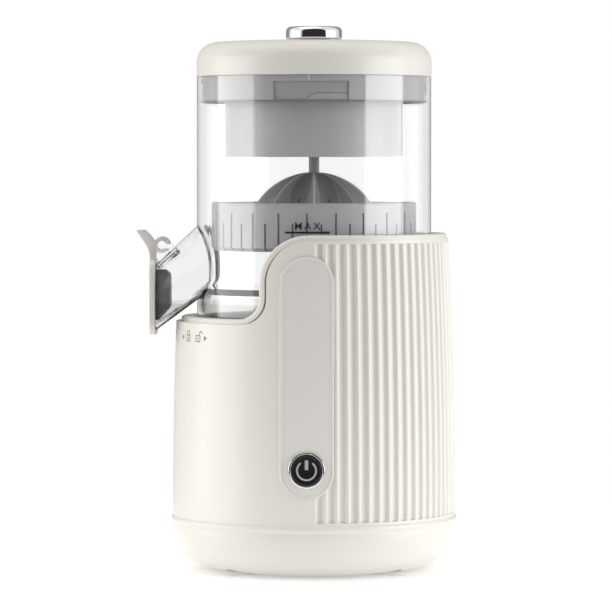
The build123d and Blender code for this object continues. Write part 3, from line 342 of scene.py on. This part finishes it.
def joined(piece, tool, how):
    """Cuts the tool out of the piece, or adds it, or keeps what they share."""
    bpy.ops.object.select_all(action="DESELECT")
    piece.select_set(True)
    bpy.context.view_layer.objects.active = piece
    step = piece.modifiers.new(how.lower(), "BOOLEAN")
    step.operation, step.solver, step.object = how, "EXACT", tool
    bpy.ops.object.modifier_apply(modifier=step.name)
    bpy.data.objects.remove(tool)


def smoothed(piece, degrees=35):
    """Shades the piece smooth except across edges sharper than this."""
    bpy.ops.object.select_all(action="DESELECT")
    piece.select_set(True)
    bpy.context.view_layer.objects.active = piece
    bpy.ops.object.shade_smooth_by_angle(angle=math.radians(degrees))


def finished(piece, finish, body, *nodes):
    """Gives a new piece its finish and its body, and says which CAD nodes it stands for."""
    piece.data.materials.clear()
    piece.data.materials.append(finish.material)
    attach(piece, body)
    if nodes:
        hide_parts(*nodes)


bpy.ops.object.select_all(action="DESELECT")
bpy.ops.mesh.primitive_circle_add(vertices=960, radius=barrel(FOOT) * MM, location=(0, 0, 0))
shell = bpy.context.object
shell.name = "ribbed_shell"
bpy.ops.object.mode_set(mode="EDIT")
bpy.ops.mesh.select_all(action="SELECT")
bpy.ops.transform.translate(value=(0, 0, FOOT * MM))
rib_foot, rib_head = FOOT + 1.2, HEAD - 1.4
heights = [FOOT, rib_foot, rib_foot + 0.25]
heights += [rib_foot + 0.25 + (rib_head - rib_foot - 0.5) * n / 12 for n in range(1, 12)]
heights += [rib_head - 0.25, rib_head, HEAD]
for low, high in zip(heights, heights[1:]):
    bpy.ops.mesh.extrude_region_move(TRANSFORM_OT_translate={"value": (0, 0, (high - low) * MM)})
    grow = barrel(high) / barrel(low)
    bpy.ops.transform.resize(value=(grow, grow, 1), center_override=(0, 0, 0))
inner = (barrel(HEAD) - 2.6) / barrel(HEAD)
bpy.ops.mesh.extrude_region_move()
bpy.ops.transform.resize(value=(inner, inner, 1), center_override=(0, 0, 0))
bpy.ops.mesh.extrude_region_move(TRANSFORM_OT_translate={"value": (0, 0, (FOOT - HEAD) * MM)})
wider = (barrel(FOOT) - 2.6) / (barrel(HEAD) - 2.6)
bpy.ops.transform.resize(value=(wider, wider, 1), center_override=(0, 0, 0))
# close the foot, between the inner wall's last ring and the outer wall's first
mesh = bmesh.from_edit_mesh(shell.data)
for edge in mesh.edges:
    edge.select = edge.is_boundary
bmesh.update_edit_mesh(shell.data)
bpy.ops.mesh.bridge_edge_loops()
# ribs: round-shouldered, with flat-bottomed grooves between them that stop square at both ends
mesh = bmesh.from_edit_mesh(shell.data)
for vertex in mesh.verts:
    x, y, z = (c / MM for c in vertex.co)
    radius = math.hypot(x, y)
    around = math.degrees(math.atan2(x, -y))
    if not (rib_foot + 0.1 < z < rib_head - 0.1 and -0.01 < around < 180.01 and radius > barrel(z) - 1):
        continue
    phase = abs((around / 4.5 + 0.5) % 1.0 - 0.5)
    if phase < 0.22:
        sunk = 0.70 * (phase / 0.22) ** 2.0
    else:
        sunk = min(0.70 + (phase - 0.22) / 0.06 * 0.65, 1.35 + 0.10 * (phase - 0.28) / 0.22)
    vertex.co.x *= (radius - sunk) / radius
    vertex.co.y *= (radius - sunk) / radius
bmesh.update_edit_mesh(shell.data)
closed(shell)


def rim_cutter(name, drop):
    """All that lies above the rim's double curve."""
    line = rim_line(drop)
    return block(name, [(-90, line[0][1])] + line + [(90, line[-1][1]), (90, 200), (-90, 200)], -90, 90)


joined(shell, rim_cutter("shell_cutter", 2.3), "DIFFERENCE")

# ---------------------------------------------------------------- control panel
# A long rounded plate pressed into the shell's front, moulded in paler grey, with a thin raised bead
# round its edge.


def stadium(width, height, middle, steps=18):
    """A slot's outline as (x, z): straight sides and round ends."""
    r = width / 2
    line = []
    for turn, centre in ((0, middle + height / 2 - r), (180, middle - height / 2 + r)):
        for step in range(steps + 1):
            a = math.radians(turn + 180 * step / steps)
            line.append((r * math.cos(a), centre + r * math.sin(a)))
    return line


def wrapped(piece, around, radius=barrel):
    """Lays a flat piece, drawn in X and Z at its real height, on a curved wall, the body's unless it is
    given another, turned by around degrees from -Y towards +X. Its depth along -Y becomes its height
    off the surface."""
    turn = Matrix.Rotation(math.radians(around), 4, "Z")
    for vertex in piece.data.vertices:
        u, off, z = vertex.co.x, -vertex.co.y, vertex.co.z
        r = radius(z / MM) * MM
        a = u / r
        vertex.co = turn @ Vector(((r + off) * math.sin(a), -(r + off) * math.cos(a), z))


def sliced(piece, axis, places):
    """Cuts extra rows of edges across a flat piece, so that it can follow a curve."""
    bpy.ops.object.select_all(action="DESELECT")
    piece.select_set(True)
    bpy.context.view_layer.objects.active = piece
    bpy.ops.object.mode_set(mode="EDIT")
    for place in places:
        bpy.ops.mesh.select_all(action="SELECT")
        bpy.ops.mesh.bisect(plane_co=Vector(axis) * place * MM, plane_no=axis, threshold=0.0000001)
    bpy.ops.object.mode_set(mode="OBJECT")


PANEL_WIDTH, PANEL_HEIGHT, PANEL_MIDDLE, PANEL_TURN = 24.0, 106.2, 88.8, -3.0


def plate(name, margin, proud, sunk):
    """The panel's plate, smaller all round by margin, in edit mode with its front face selected."""
    edge = stadium(PANEL_WIDTH - 2 * margin, PANEL_HEIGHT - 2 * margin, PANEL_MIDDLE)
    piece = drawn(name, [(x, sunk, z) for x, z in edge])
    bpy.ops.mesh.edge_face_add()
    bpy.ops.mesh.extrude_region_move(TRANSFORM_OT_translate={"value": (0, (-proud - sunk) * MM, 0)})
    return piece


# the bead: steps in from the edge, each with its rise
BEAD = (0.10, 0.20), (0.22, 0.18), (0.30, 0.04), (0.30, -0.04), (0.25, -0.16), (0.12, -0.20)
panel = plate("front_panel", 0.12, 0.35, 1.2)
for inward, rise in BEAD:
    bpy.ops.mesh.inset(thickness=inward * MM, depth=rise * MM)
closed(panel)
cutter = closed(plate("panel_cutter", 0.0, 3.0, 1.3))
for piece in (panel, cutter):
    sliced(piece, (1, 0, 0), range(-11, 12))
    sliced(piece, (0, 0, 1), range(38, 146, 6))
    wrapped(piece, PANEL_TURN)
joined(shell, cutter, "DIFFERENCE")
smoothed(shell, 40)
finished(shell, ivory, "base", "body_shell")


# ---------------------------------------------------------------- button
# A push button in a bright bezel, set in a round recess in the panel. The mark on it is printed grey.
BUTTON_Z = 48.7
BUTTON = Matrix.Rotation(math.radians(PANEL_TURN), 4, "Z")
BUTTON @= Matrix.Translation((0, -(barrel(BUTTON_Z) + 0.7) * MM, BUTTON_Z * MM))
BUTTON @= Matrix.Rotation(math.radians(90), 4, "X")


def rounded(outline, steps=5):
    """Points along an outline whose corners are given as (radius, height, corner radius)."""
    line = []
    for n, (x, z, soft) in enumerate(outline):
        corner = Vector((x, z))
        if not soft:
            line.append(corner)
            continue
        before = (Vector(outline[n - 1][:2]) - corner).normalized()
        after = (Vector(outline[(n + 1) % len(outline)][:2]) - corner).normalized()
        half = before.angle(after) / 2
        centre = corner + (before + after).normalized() * soft / math.sin(half)
        start = corner + before * soft / math.tan(half) - centre
        end = corner + after * soft / math.tan(half) - centre
        sweep = start.angle_signed(end)
        for step in range(steps + 1):
            turn = Matrix.Rotation(-sweep * step / steps, 2)
            line.append(centre + turn @ start)
    return line


def turned(name, outline, steps=128):
    """A piece turned on the Z axis from an outline of (radius, height, corner radius)."""
    piece = drawn(name, [(p.x, 0, p.y) for p in rounded(outline)])
    bpy.ops.mesh.spin(steps=steps, angle=2 * math.pi, center=(0, 0, 0), axis=(0, 0, 1))
    bpy.ops.mesh.select_all(action="SELECT")
    bpy.ops.mesh.remove_doubles(threshold=0.0000005)
    smoothed(closed(piece))
    return piece


hole = turned("button_hole", [(0, -9, 0), (8.05, -9, 0), (8.05, 4, 0), (0, 4, 0)], 96)
hole.data.transform(BUTTON)
joined(panel, hole, "DIFFERENCE")
smoothed(panel, 30)
pale = Finish("panel_plastic", (0.79, 0.765, 0.72), 0.34)
pale.moulded((0.780, 0.755, 0.712), (0.800, 0.776, 0.735), 0.34, 0.05, 1000.0, 0.00002)
finished(panel, pale, "base", "control_panel")

bezel = turned(
    "button_bezel_ring",
    [(7.0, -6.3, 0), (7.2, -6.3, 0), (7.2, -0.3, 0), (8.0, -0.3, 0.1), (8.0, 0.45, 0.35), (7.0, 0.62, 0.3)],
    96,
)
bezel.data.transform(BUTTON)
chrome = Finish("bright_chrome", (0.84, 0.84, 0.85), 0.06, Metallic=1.0)
chrome.moulded((0.82, 0.82, 0.83), (0.87, 0.87, 0.88), 0.06, 0.04, 400.0, 0.000003)
finished(bezel, chrome, "base", "button_bezel")

button = turned(
    "push_button",
    [(0, -4.1, 0), (6.7, -4.1, 0), (6.7, 0.75, 0.5), (5.9, 0.55, 0.3), (0, 0.42, 0)],
    96,
)
button.data.transform(BUTTON)
stem = turned("button_stem", [(0, -17.6, 0), (2.0, -17.6, 0.3), (2.0, -4.0, 0), (0, -4.0, 0)], 32)
stem.data.transform(BUTTON)
joined(button, stem, "UNION")
smoothed(button)
black = Finish("black_plastic", (0.012, 0.012, 0.012), 0.18)
black.moulded((0.010, 0.010, 0.010), (0.016, 0.016, 0.016), 0.18, 0.05, 900.0, 0.00001)
finished(button, black, "button", "power_button")


def ring_part(name, inner, outer, first, last, steps=40):
    """Part of a flat ring in the XY plane, from first to last degrees, 0.12 mm thick."""
    points = []
    for r, order in ((outer, range(steps + 1)), (inner, range(steps, -1, -1))):
        for step in order:
            a = math.radians(first + (last - first) * step / steps)
            points.append((r * math.cos(a), r * math.sin(a), 0))
    piece = drawn(name, points)
    bpy.ops.mesh.edge_face_add()
    bpy.ops.mesh.extrude_region_move(TRANSFORM_OT_translate={"value": (0, 0, 0.12 * MM)})
    return closed(piece)


print_grey = Finish("printed_grey", (0.42, 0.42, 0.44), 0.45)
print_grey.moulded((0.38, 0.38, 0.40), (0.46, 0.46, 0.48), 0.45, 0.1, 900.0, 0.000005)
mark = ring_part("power_ring", 3.75, 5.2, 90 + 38, 90 + 322)
bar = block("power_bar", [(-0.75, 0), (0.75, 0), (0.75, 0.12), (-0.75, 0.12)], 0.3, 6.0)
joined(mark, bar, "UNION")
mark.name = "power_mark"
mark.data.transform(Matrix.Translation((0, 0, 0.40 * MM)))
mark.data.transform(BUTTON)
finished(mark, print_grey, "button")

# ---------------------------------------------------------------- lock marks
# Two small padlocks with arrows, printed grey on the shell's left shoulder beside the cup's two stops:
# locked towards the spout, free towards the front.


def padlock(x, z, swing):
    """A padlock's case, keyhole and shackle as outlines; swing moves an open shackle sideways."""
    wide, high, line = 1.8, 1.5, 0.42
    left, right, low, top = x - wide, x + wide, z - high, z + high
    case = [
        [(left, low), (right, low), (right, low + line), (left, low + line)],
        [(left, top - line), (right, top - line), (right, top), (left, top)],
        [(left, low), (left + line, low), (left + line, top), (left, top)],
        [(right - line, low), (right, low), (right, top), (right - line, top)],
        [(x - 0.3, z - 0.6), (x + 0.3, z - 0.6), (x + 0.3, z + 0.5), (x - 0.3, z + 0.5)],
    ]
    hoop = []
    for r, order in ((1.3, range(13)), (0.9, range(12, -1, -1))):
        for step in order:
            a = math.pi * step / 12
            hoop.append((x + swing + r * math.cos(a), z + 2.1 + r * math.sin(a)))
    legs = []
    for side in (-1.3, 0.9) if not swing else (-1.3,):
        at = x + swing + side
        legs.append([(at, z + high), (at + 0.4, z + high), (at + 0.4, z + 2.1), (at, z + 2.1)])
    return case + [hoop] + legs


MARKS_Z, MARKS_TURN = 104.7, -64.2
shut = padlock(0.7, MARKS_Z, 0.0)
free = padlock(9.4, MARKS_Z, 2.2)
arrows = []
for tip, back in ((-6.3, -4.4), (15.9, 14.0)):
    arrows.append([(tip, MARKS_Z + 0.3), (back, MARKS_Z + 1.5), (back, MARKS_Z - 0.9)])
marks = [block("lock_marks", outline, 0.06, -0.06) for outline in shut + free + arrows]
bpy.ops.object.select_all(action="DESELECT")
for mark in marks:
    mark.select_set(True)
bpy.context.view_layer.objects.active = marks[0]
bpy.ops.object.join()
wrapped(marks[0], MARKS_TURN)
print_dark = Finish("printed_dark_grey", (0.16, 0.16, 0.16), 0.5)
print_dark.moulded((0.14, 0.14, 0.14), (0.19, 0.19, 0.19), 0.5, 0.1, 900.0, 0.000005)
finished(marks[0], print_dark, "base")

# ---------------------------------------------------------------- well and lip
# The liner that the cup stands in: a thin ivory wall whose rolled lip covers the shell's top edge all
# the way along its double curve.
LIP_R = 56.8


def lip_path():
    """Points along the middle of the lip, once round the body."""
    line = rim_line(1.15)
    low, high = line[0], line[-1]
    first = math.degrees(math.asin(low[0] / LIP_R))
    last = math.degrees(math.asin(high[0] / LIP_R))
    front = [(-90 + (first + 90) * n / 14, low[1]) for n in range(14)]
    front += [(math.degrees(math.asin(x / LIP_R)), z) for x, z in line]
    front += [(last + (90 - last) * n / 40, high[1]) for n in range(1, 41)]
    back = [(180 - a, z) for a, z in reversed(front[1:-1])]
    turns = [(math.radians(a), z) for a, z in front + back]
    return [Vector((LIP_R * math.sin(a), -LIP_R * math.cos(a), z)) for a, z in turns]


path = lip_path()
section = rounded([(-2.8, -1.15, 0.5), (2.8, -1.55, 0.25), (2.8, 1.15, 0.9), (-2.8, 1.15, 1.0)], 4)
lip = bpy.data.objects.new("well_lip", bpy.data.meshes.new("well_lip"))
bpy.context.scene.collection.objects.link(lip)
# its section is swept round the path, kept upright, which no operator does
mesh = bmesh.new()
rings = []
for n, here in enumerate(path):
    along = (path[(n + 1) % len(path)] - path[n - 1]).normalized()
    out = Vector((here.x, here.y, 0)).normalized()
    up = out.cross(along).normalized()
    rings.append([mesh.verts.new((here + out * p.x + up * p.y) * MM) for p in section])
for ring, following in zip(rings, rings[1:] + rings[:1]):
    for n in range(len(section)):
        m = (n + 1) % len(section)
        mesh.faces.new((ring[n], ring[m], following[m], following[n]))
bmesh.ops.recalc_face_normals(mesh, faces=mesh.faces)
mesh.to_mesh(lip.data)
mesh.free()
liner = turned(
    "cup_well_liner",
    [
        (6.0, 97.5, 0), (56.0, 97.5, 1.5), (56.0, 149.6, 0.3), (54.0, 149.6, 0.3), (54.0, 100.0, 1.5),
        (8.5, 100.0, 0.4), (8.5, 100.6, 0.3), (6.0, 100.6, 0),
    ],
    192,
)
joined(liner, rim_cutter("liner_cutter", 1.15), "DIFFERENCE")
joined(liner, lip, "UNION")
smoothed(liner, 40)
finished(liner, ivory, "base", "cup_well")


# ---------------------------------------------------------------- base pan
# The tub under the shell, moulded in the same ivory with a bead round its rim, and held up by four
# screws. It stands on four black rubber feet.
rubber = Finish("foot_rubber", (0.03, 0.03, 0.03), 0.75)
rubber.moulded((0.025, 0.025, 0.025), (0.040, 0.040, 0.040), 0.75, 0.1, 500.0, 0.00005)
steel = Finish("plain_steel", (0.55, 0.55, 0.56), 0.32, Metallic=1.0)
steel.moulded((0.52, 0.52, 0.53), (0.60, 0.60, 0.61), 0.32, 0.12, 900.0, 0.00001)
dress(ivory, "base_pan")
dress(rubber, "feet")
dress(steel, "pan_screws")

# ---------------------------------------------------------------- drive and cells
# Inside the base: a can motor and two steps of acetal gears in a black tray under the well, two cells
# in a holder, a board behind the button, and a charging port in the back.
moulding = Finish("black_moulding", (0.07, 0.07, 0.07), 0.40)
moulding.moulded((0.055, 0.055, 0.057), (0.080, 0.080, 0.082), 0.40, 0.08, 1100.0, 0.00002)
brass = Finish("turned_brass", (0.70, 0.50, 0.24), 0.30, Metallic=1.0)
brass.moulded((0.66, 0.47, 0.22), (0.74, 0.54, 0.27), 0.30, 0.10, 900.0, 0.00001)
acetal = Finish("natural_acetal", (0.80, 0.79, 0.74), 0.42)
acetal.moulded((0.78, 0.77, 0.72), (0.82, 0.81, 0.77), 0.42, 0.08, 800.0, 0.00002)
lacquer = Finish("board_lacquer", (0.02, 0.16, 0.07), 0.30)
lacquer.moulded((0.015, 0.14, 0.06), (0.025, 0.19, 0.09), 0.30, 0.08, 700.0, 0.00002)
sleeve = Finish("cell_sleeve", (0.03, 0.12, 0.34), 0.28)
sleeve.moulded((0.025, 0.10, 0.30), (0.035, 0.14, 0.38), 0.28, 0.08, 500.0, 0.00001)
dress(moulding, "gear_case", "cell_holder", "board_switch", "port_surround")
dress(steel, "motor_can", "motor_screws", "motor_rotor", "idler_pin", "output_shaft", "charge_port")
dress(brass, "shaft_bush", "motor_pinion")
dress(acetal, "idler_gear", "output_gear")
dress(lacquer, "control_board")
dress(sleeve, "battery_cells")

# ---------------------------------------------------------------- seals under the cup
# A milky silicone ring that the cup stands on, and a darker lip seal round the shaft.
milky = Finish("milky_silicone", (0.62, 0.62, 0.60), 0.5)
milky.moulded((0.60, 0.60, 0.58), (0.66, 0.66, 0.64), 0.5, 0.1, 700.0, 0.00002)
silicone = Finish("warm_grey_silicone", (0.095, 0.086, 0.078), 0.5)
silicone.moulded((0.088, 0.080, 0.073), (0.108, 0.099, 0.090), 0.5, 0.1, 700.0, 0.00003)
dress(milky, "seat_ring")
dress(silicone, "shaft_seal", "lid_gasket")

# ---------------------------------------------------------------- cup
# One clear moulding, polished all over: the wall, the raised floor, the chimney round the shaft and the
# covered spout.


def softened(node, name, width, degrees=40, steps=2):
    """A copy of a CAD piece, its loose triangles merged and its edges rounded by width millimetres."""
    bpy.ops.object.select_all(action="DESELECT")
    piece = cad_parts[node].copy()
    piece.data = piece.data.copy()
    piece.name = piece.data.name = name
    bpy.context.scene.collection.objects.link(piece)
    piece.parent = None
    piece.matrix_world = Matrix.Identity(4)
    piece.select_set(True)
    bpy.context.view_layer.objects.active = piece
    bpy.ops.object.mode_set(mode="EDIT")
    bpy.ops.mesh.select_all(action="SELECT")
    bpy.ops.mesh.remove_doubles(threshold=0.000002)
    bpy.ops.mesh.dissolve_limited(angle_limit=math.radians(0.5))
    bpy.ops.object.mode_set(mode="OBJECT")
    step = piece.modifiers.new("rounding", "BEVEL")
    step.width, step.segments = width * MM, steps
    step.limit_method, step.angle_limit = "ANGLE", math.radians(degrees)
    step.use_clamp_overlap = True
    bpy.ops.object.modifier_apply(modifier=step.name)
    smoothed(piece, 35)
    return piece


clear = Finish("clear_plastic", (0.97, 0.98, 0.985), 0.02, Transmission_Weight=1.0, IOR=1.52)
clear.drive("Roughness", clear.noise(40.0, 2.0) * 0.02 + 0.005)
FLOOR_Z = 119.6
x, y, z = clear.parts(clear.place())
# below the floor the clear foot is tinted grey: painted shade for the shaded well seen through it
foot = (FLOOR_Z * MM - z).rising(-0.0004, 0.0004)
clear.drive("Base Color", clear.blend(foot, (0.97, 0.98, 0.985), (0.80, 0.80, 0.795)))
dress(clear, "juice_cup")
# light falls through the clear wall on what is inside
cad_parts["juice_cup"].visible_shadow = False

# the fill line and its word, printed black on the cup's front
ink = Finish("black_print", (0.012, 0.012, 0.012), 0.4)
ink.moulded((0.010, 0.010, 0.010), (0.015, 0.015, 0.015), 0.4, 0.1, 900.0, 0.000003)
CUP_R, PRINT_TURN = 52.65, -3.3
LINE_HALF, LINE_LOW, LINE_TOP = 9.9, 151.4, 152.25
line = [(-LINE_HALF, LINE_LOW), (LINE_HALF, LINE_LOW), (LINE_HALF, LINE_TOP), (-LINE_HALF, LINE_TOP)]
fill_line = block("fill_line", line, 0.04, -0.08)
sliced(fill_line, (1, 0, 0), range(-9, 10))
bpy.ops.object.select_all(action="DESELECT")
bpy.ops.object.text_add(location=(0, 0, 0))
word = bpy.context.object
word.data.body = "MAX"
word.data.size = 4.6 * MM
word.data.space_character = 1.35
word.data.align_x = "CENTER"
word.data.extrude = 0.06 * MM
word.data.offset = 0.02 * MM
bpy.ops.object.convert(target="MESH")
word.name = word.data.name = "fill_word"
word.data.transform(Matrix.Rotation(math.radians(90), 4, "X"))
word.data.transform(Matrix.Translation((0, -0.02 * MM, (LINE_TOP + 0.85) * MM)))
sliced(word, (1, 0, 0), [n * 1.5 for n in range(-5, 6)])
for mark in (fill_line, word):
    wrapped(mark, PRINT_TURN, lambda z: CUP_R)
    finished(mark, ink, "cup")

# ---------------------------------------------------------------- strainer
# The slotted basket, moulded in satin mid grey, standing on the chimney's collar.
grey = Finish("grey_plastic", (0.26, 0.26, 0.26), 0.38)
grey.moulded((0.250, 0.250, 0.250), (0.275, 0.275, 0.275), 0.38, 0.08, 1100.0, 0.00002)
dress(grey, "strainer")

# ---------------------------------------------------------------- reamer
# A dome of eight sharp ribs with hollow sides, moulded in grey plastic on a hub that turns in the
# chimney. The hollows are darkened with painted shade and the crests carry a painted highlight. The drain
# holes are only painted dark spots low in the hollows, also painted shade. A hexagonal stem stands on it.
APEX, DOME_R = 178.1, 31.0
FIN_TOP, FIN_SLOPE, DRAIN_Z = 0.5, 0.22, 165.4
bpy.ops.object.select_all(action="DESELECT")
bpy.ops.mesh.primitive_circle_add(vertices=320, radius=1.0, location=(0, 0, 0))
dome = bpy.context.object
dome.name = dome.data.name = "ribbed_dome"
bpy.ops.object.mode_set(mode="EDIT")
bpy.ops.mesh.select_all(action="SELECT")
levels = [149.0 + 26.0 * n / 22 for n in range(23)] + [175.8, 176.5, 177.0, 177.4, 177.7, 177.9]
bpy.ops.transform.translate(value=(0, 0, levels[0] * MM))
for low, high in zip(levels, levels[1:]):
    bpy.ops.mesh.extrude_region_move(TRANSFORM_OT_translate={"value": (0, 0, (high - low) * MM)})
bpy.ops.mesh.edge_face_add()
bpy.ops.object.mode_set(mode="OBJECT")
for vertex in dome.data.vertices:
    x, y, z = vertex.co.x, vertex.co.y, vertex.co.z / MM
    around = math.degrees(math.atan2(x, -y))
    across = abs((around / 45.0) % 1.0 * 2 - 1)
    crest = math.sqrt(max(DOME_R**2 - (z - APEX + DOME_R) ** 2, 0.01))
    off_fin = (1 - across) * math.pi / 8 * crest
    fin = max(0.0, 1 - off_fin / (FIN_TOP + (APEX - z) * FIN_SLOPE))
    reach = crest * (0.70 + 0.17 * across**2 + 0.13 * fin) * MM
    vertex.co.x, vertex.co.y = reach * math.sin(math.radians(around)), -reach * math.cos(math.radians(around))
hub = turned("reamer_hub", [(0, 106.0, 0), (5.5, 106.0, 0.4), (5.5, 165.0, 0), (0, 165.0, 0)], 64)
socket = turned("hub_socket", [(0, 105.0, 0), (3.9, 105.0, 0), (3.9, 115.0, 0), (0, 115.0, 0)], 48)
under = [(5.5, 148.0, 0), (19.0, 148.0, 0), (18.0, 155.0, 2), (11.0, 164.0, 2), (5.5, 164.0, 0)]
hollow = turned("dome_hollow", under, 96)
joined(dome, hollow, "DIFFERENCE")
joined(dome, hub, "UNION")
joined(dome, socket, "DIFFERENCE")
smoothed(dome, 42)
charcoal = Finish("dark_grey_plastic", (0.15, 0.15, 0.15), 0.32)
charcoal.moulded((0.140, 0.140, 0.141), (0.165, 0.165, 0.166), 0.32, 0.08, 1100.0, 0.00002)
# the reamer's own dark grey, with painted shade in the hollows and a painted highlight along the crests
reamer_painted_light = Finish("dark_grey_painted_light", (0.15, 0.15, 0.15), 0.32)
painted_shade_hollows = reamer_painted_light.moulded((0.085, 0.085, 0.085), (0.105, 0.105, 0.105), 0.32, 0.08, 1100.0, 0.00002)
x, y, z = reamer_painted_light.parts(reamer_painted_light.place())
turn = reamer_painted_light.node("ShaderNodeMath", {"operation": "ARCTAN2"}, {0: x, 1: y}) * (8 / (2 * math.pi))
off_crest = turn.maths("WRAP", 0.5, -0.5).size()
round_mm = (x * x + y * y) ** 0.5 * (math.pi / 4 / MM)
arc = off_crest * round_mm
up = z * (1 / MM)
# a pale line along each crest: a painted highlight
painted_crest_highlight = (1.0 - arc * (1 / 0.7)).maths("MAXIMUM", 0.0)
fin = (FIN_TOP + (APEX - up) * FIN_SLOPE - arc).rising(-0.2, 0.3)
# near-black round spots low in each hollow: painted shade standing for drain holes, none is cut
painted_drain_shade = ((0.5 - off_crest) * round_mm) ** 2 + ((up - DRAIN_Z) * 0.8) ** 2
tone = reamer_painted_light.blend(fin, painted_shade_hollows, (0.175, 0.173, 0.170))
tone = reamer_painted_light.blend(painted_crest_highlight * 0.8, tone, (0.50, 0.50, 0.49))
reamer_painted_light.drive("Base Color", reamer_painted_light.blend(painted_drain_shade < 0.4, tone, (0.01, 0.01, 0.01)))
finished(dome, reamer_painted_light, "reamer", "reamer")
dress(charcoal, "reamer_stem")

# ---------------------------------------------------------------- spout cap
# An ivory lever that hangs by a C-shaped hook on the bar between the spout's ears, with a thumb tab at
# its top and a soft grey plug on its back that closes the spout.
lever = softened("spout_cap", "cap_lever", 0.45, 30, 3)
finished(lever, ivory, "spout_cap", "spout_cap")
plug = softened("spout_plug", "soft_plug", 1.0, 30, 4)
finished(plug, silicone, "spout_cap", "spout_plug")

# ---------------------------------------------------------------- lid
# A shallow ivory cover over a grey skirt. Four tracks in the skirt take the cup's lugs: each opens
# downwards, climbs a ramp and ends in a level slot.
dress(ivory, "lid_cover")
dress(moulding, "press_screw")
dress(steel, "skirt_screws", "knob_screw")
dress(grey, "press_block")
TRACK_FROM, RAMP_FROM, TRACK_TO = -20.5, -4.15, 17.2
RAMP_Z, SLOT_Z, TRACK_TOP, RAMP_RISE = 210.4, 212.75, 218.0, 0.54
track = Finish("track_grey_painted_shade", (0.26, 0.26, 0.26), 0.38)
tone = track.clouded((0.250, 0.250, 0.250), (0.275, 0.275, 0.275), 0.38, 0.08)
x, y, z = track.parts(track.place())
turn = track.node("ShaderNodeMath", {"operation": "ARCTAN2"}, {0: x, 1: y * -1.0}) * (180 / math.pi)
turn = turn.maths("WRAP", 45.0, -45.0)
height = z * (1 / MM)
over = ((turn - RAMP_FROM) * RAMP_RISE + RAMP_Z).maths("MINIMUM", SLOT_Z) - height
ledged = (turn > RAMP_FROM) * (turn < TRACK_TO)
ledge = over.rising(-0.12, 0.12) * ledged
# a dark line along the ledge's edge: a painted shadow at the step
painted_ledge_shadow = (1.0 - over.size().rising(0.0, 0.35)) * ledged
# the channel above the ledge is darkened: painted shade in the recess
painted_channel_shade = (turn > TRACK_FROM) * (turn < TRACK_TO) * (height < TRACK_TOP) * (1.0 - ledge)
tick = ((turn + 2.6).size() < 0.22) * (height > 218.3)
tone = track.blend(painted_channel_shade * 0.35, tone, (0.16, 0.16, 0.165))
tone = track.blend(painted_ledge_shadow * 0.75, tone, (0.09, 0.09, 0.09))
track.drive("Base Color", track.blend(tick, tone, (0.60, 0.60, 0.60)))
track.bump(ledge, 0.0008)
dress(track, "lid_skirt")

# ---------------------------------------------------------------- knob
# The press's knob: a short turned disc with a rounded edge, chromed, screwed to the press screw's neck.
knob = turned(
    "chrome_knob",
    [
        (0, 237.6, 0), (12.2, 237.6, 0.3), (12.6, 238.4, 0.3),
        (12.6, 243.3, 2.2), (9.5, 243.3, 0), (0, 243.25, 0),
    ],
    160,
)
finished(knob, chrome, "press_screw", "knob")
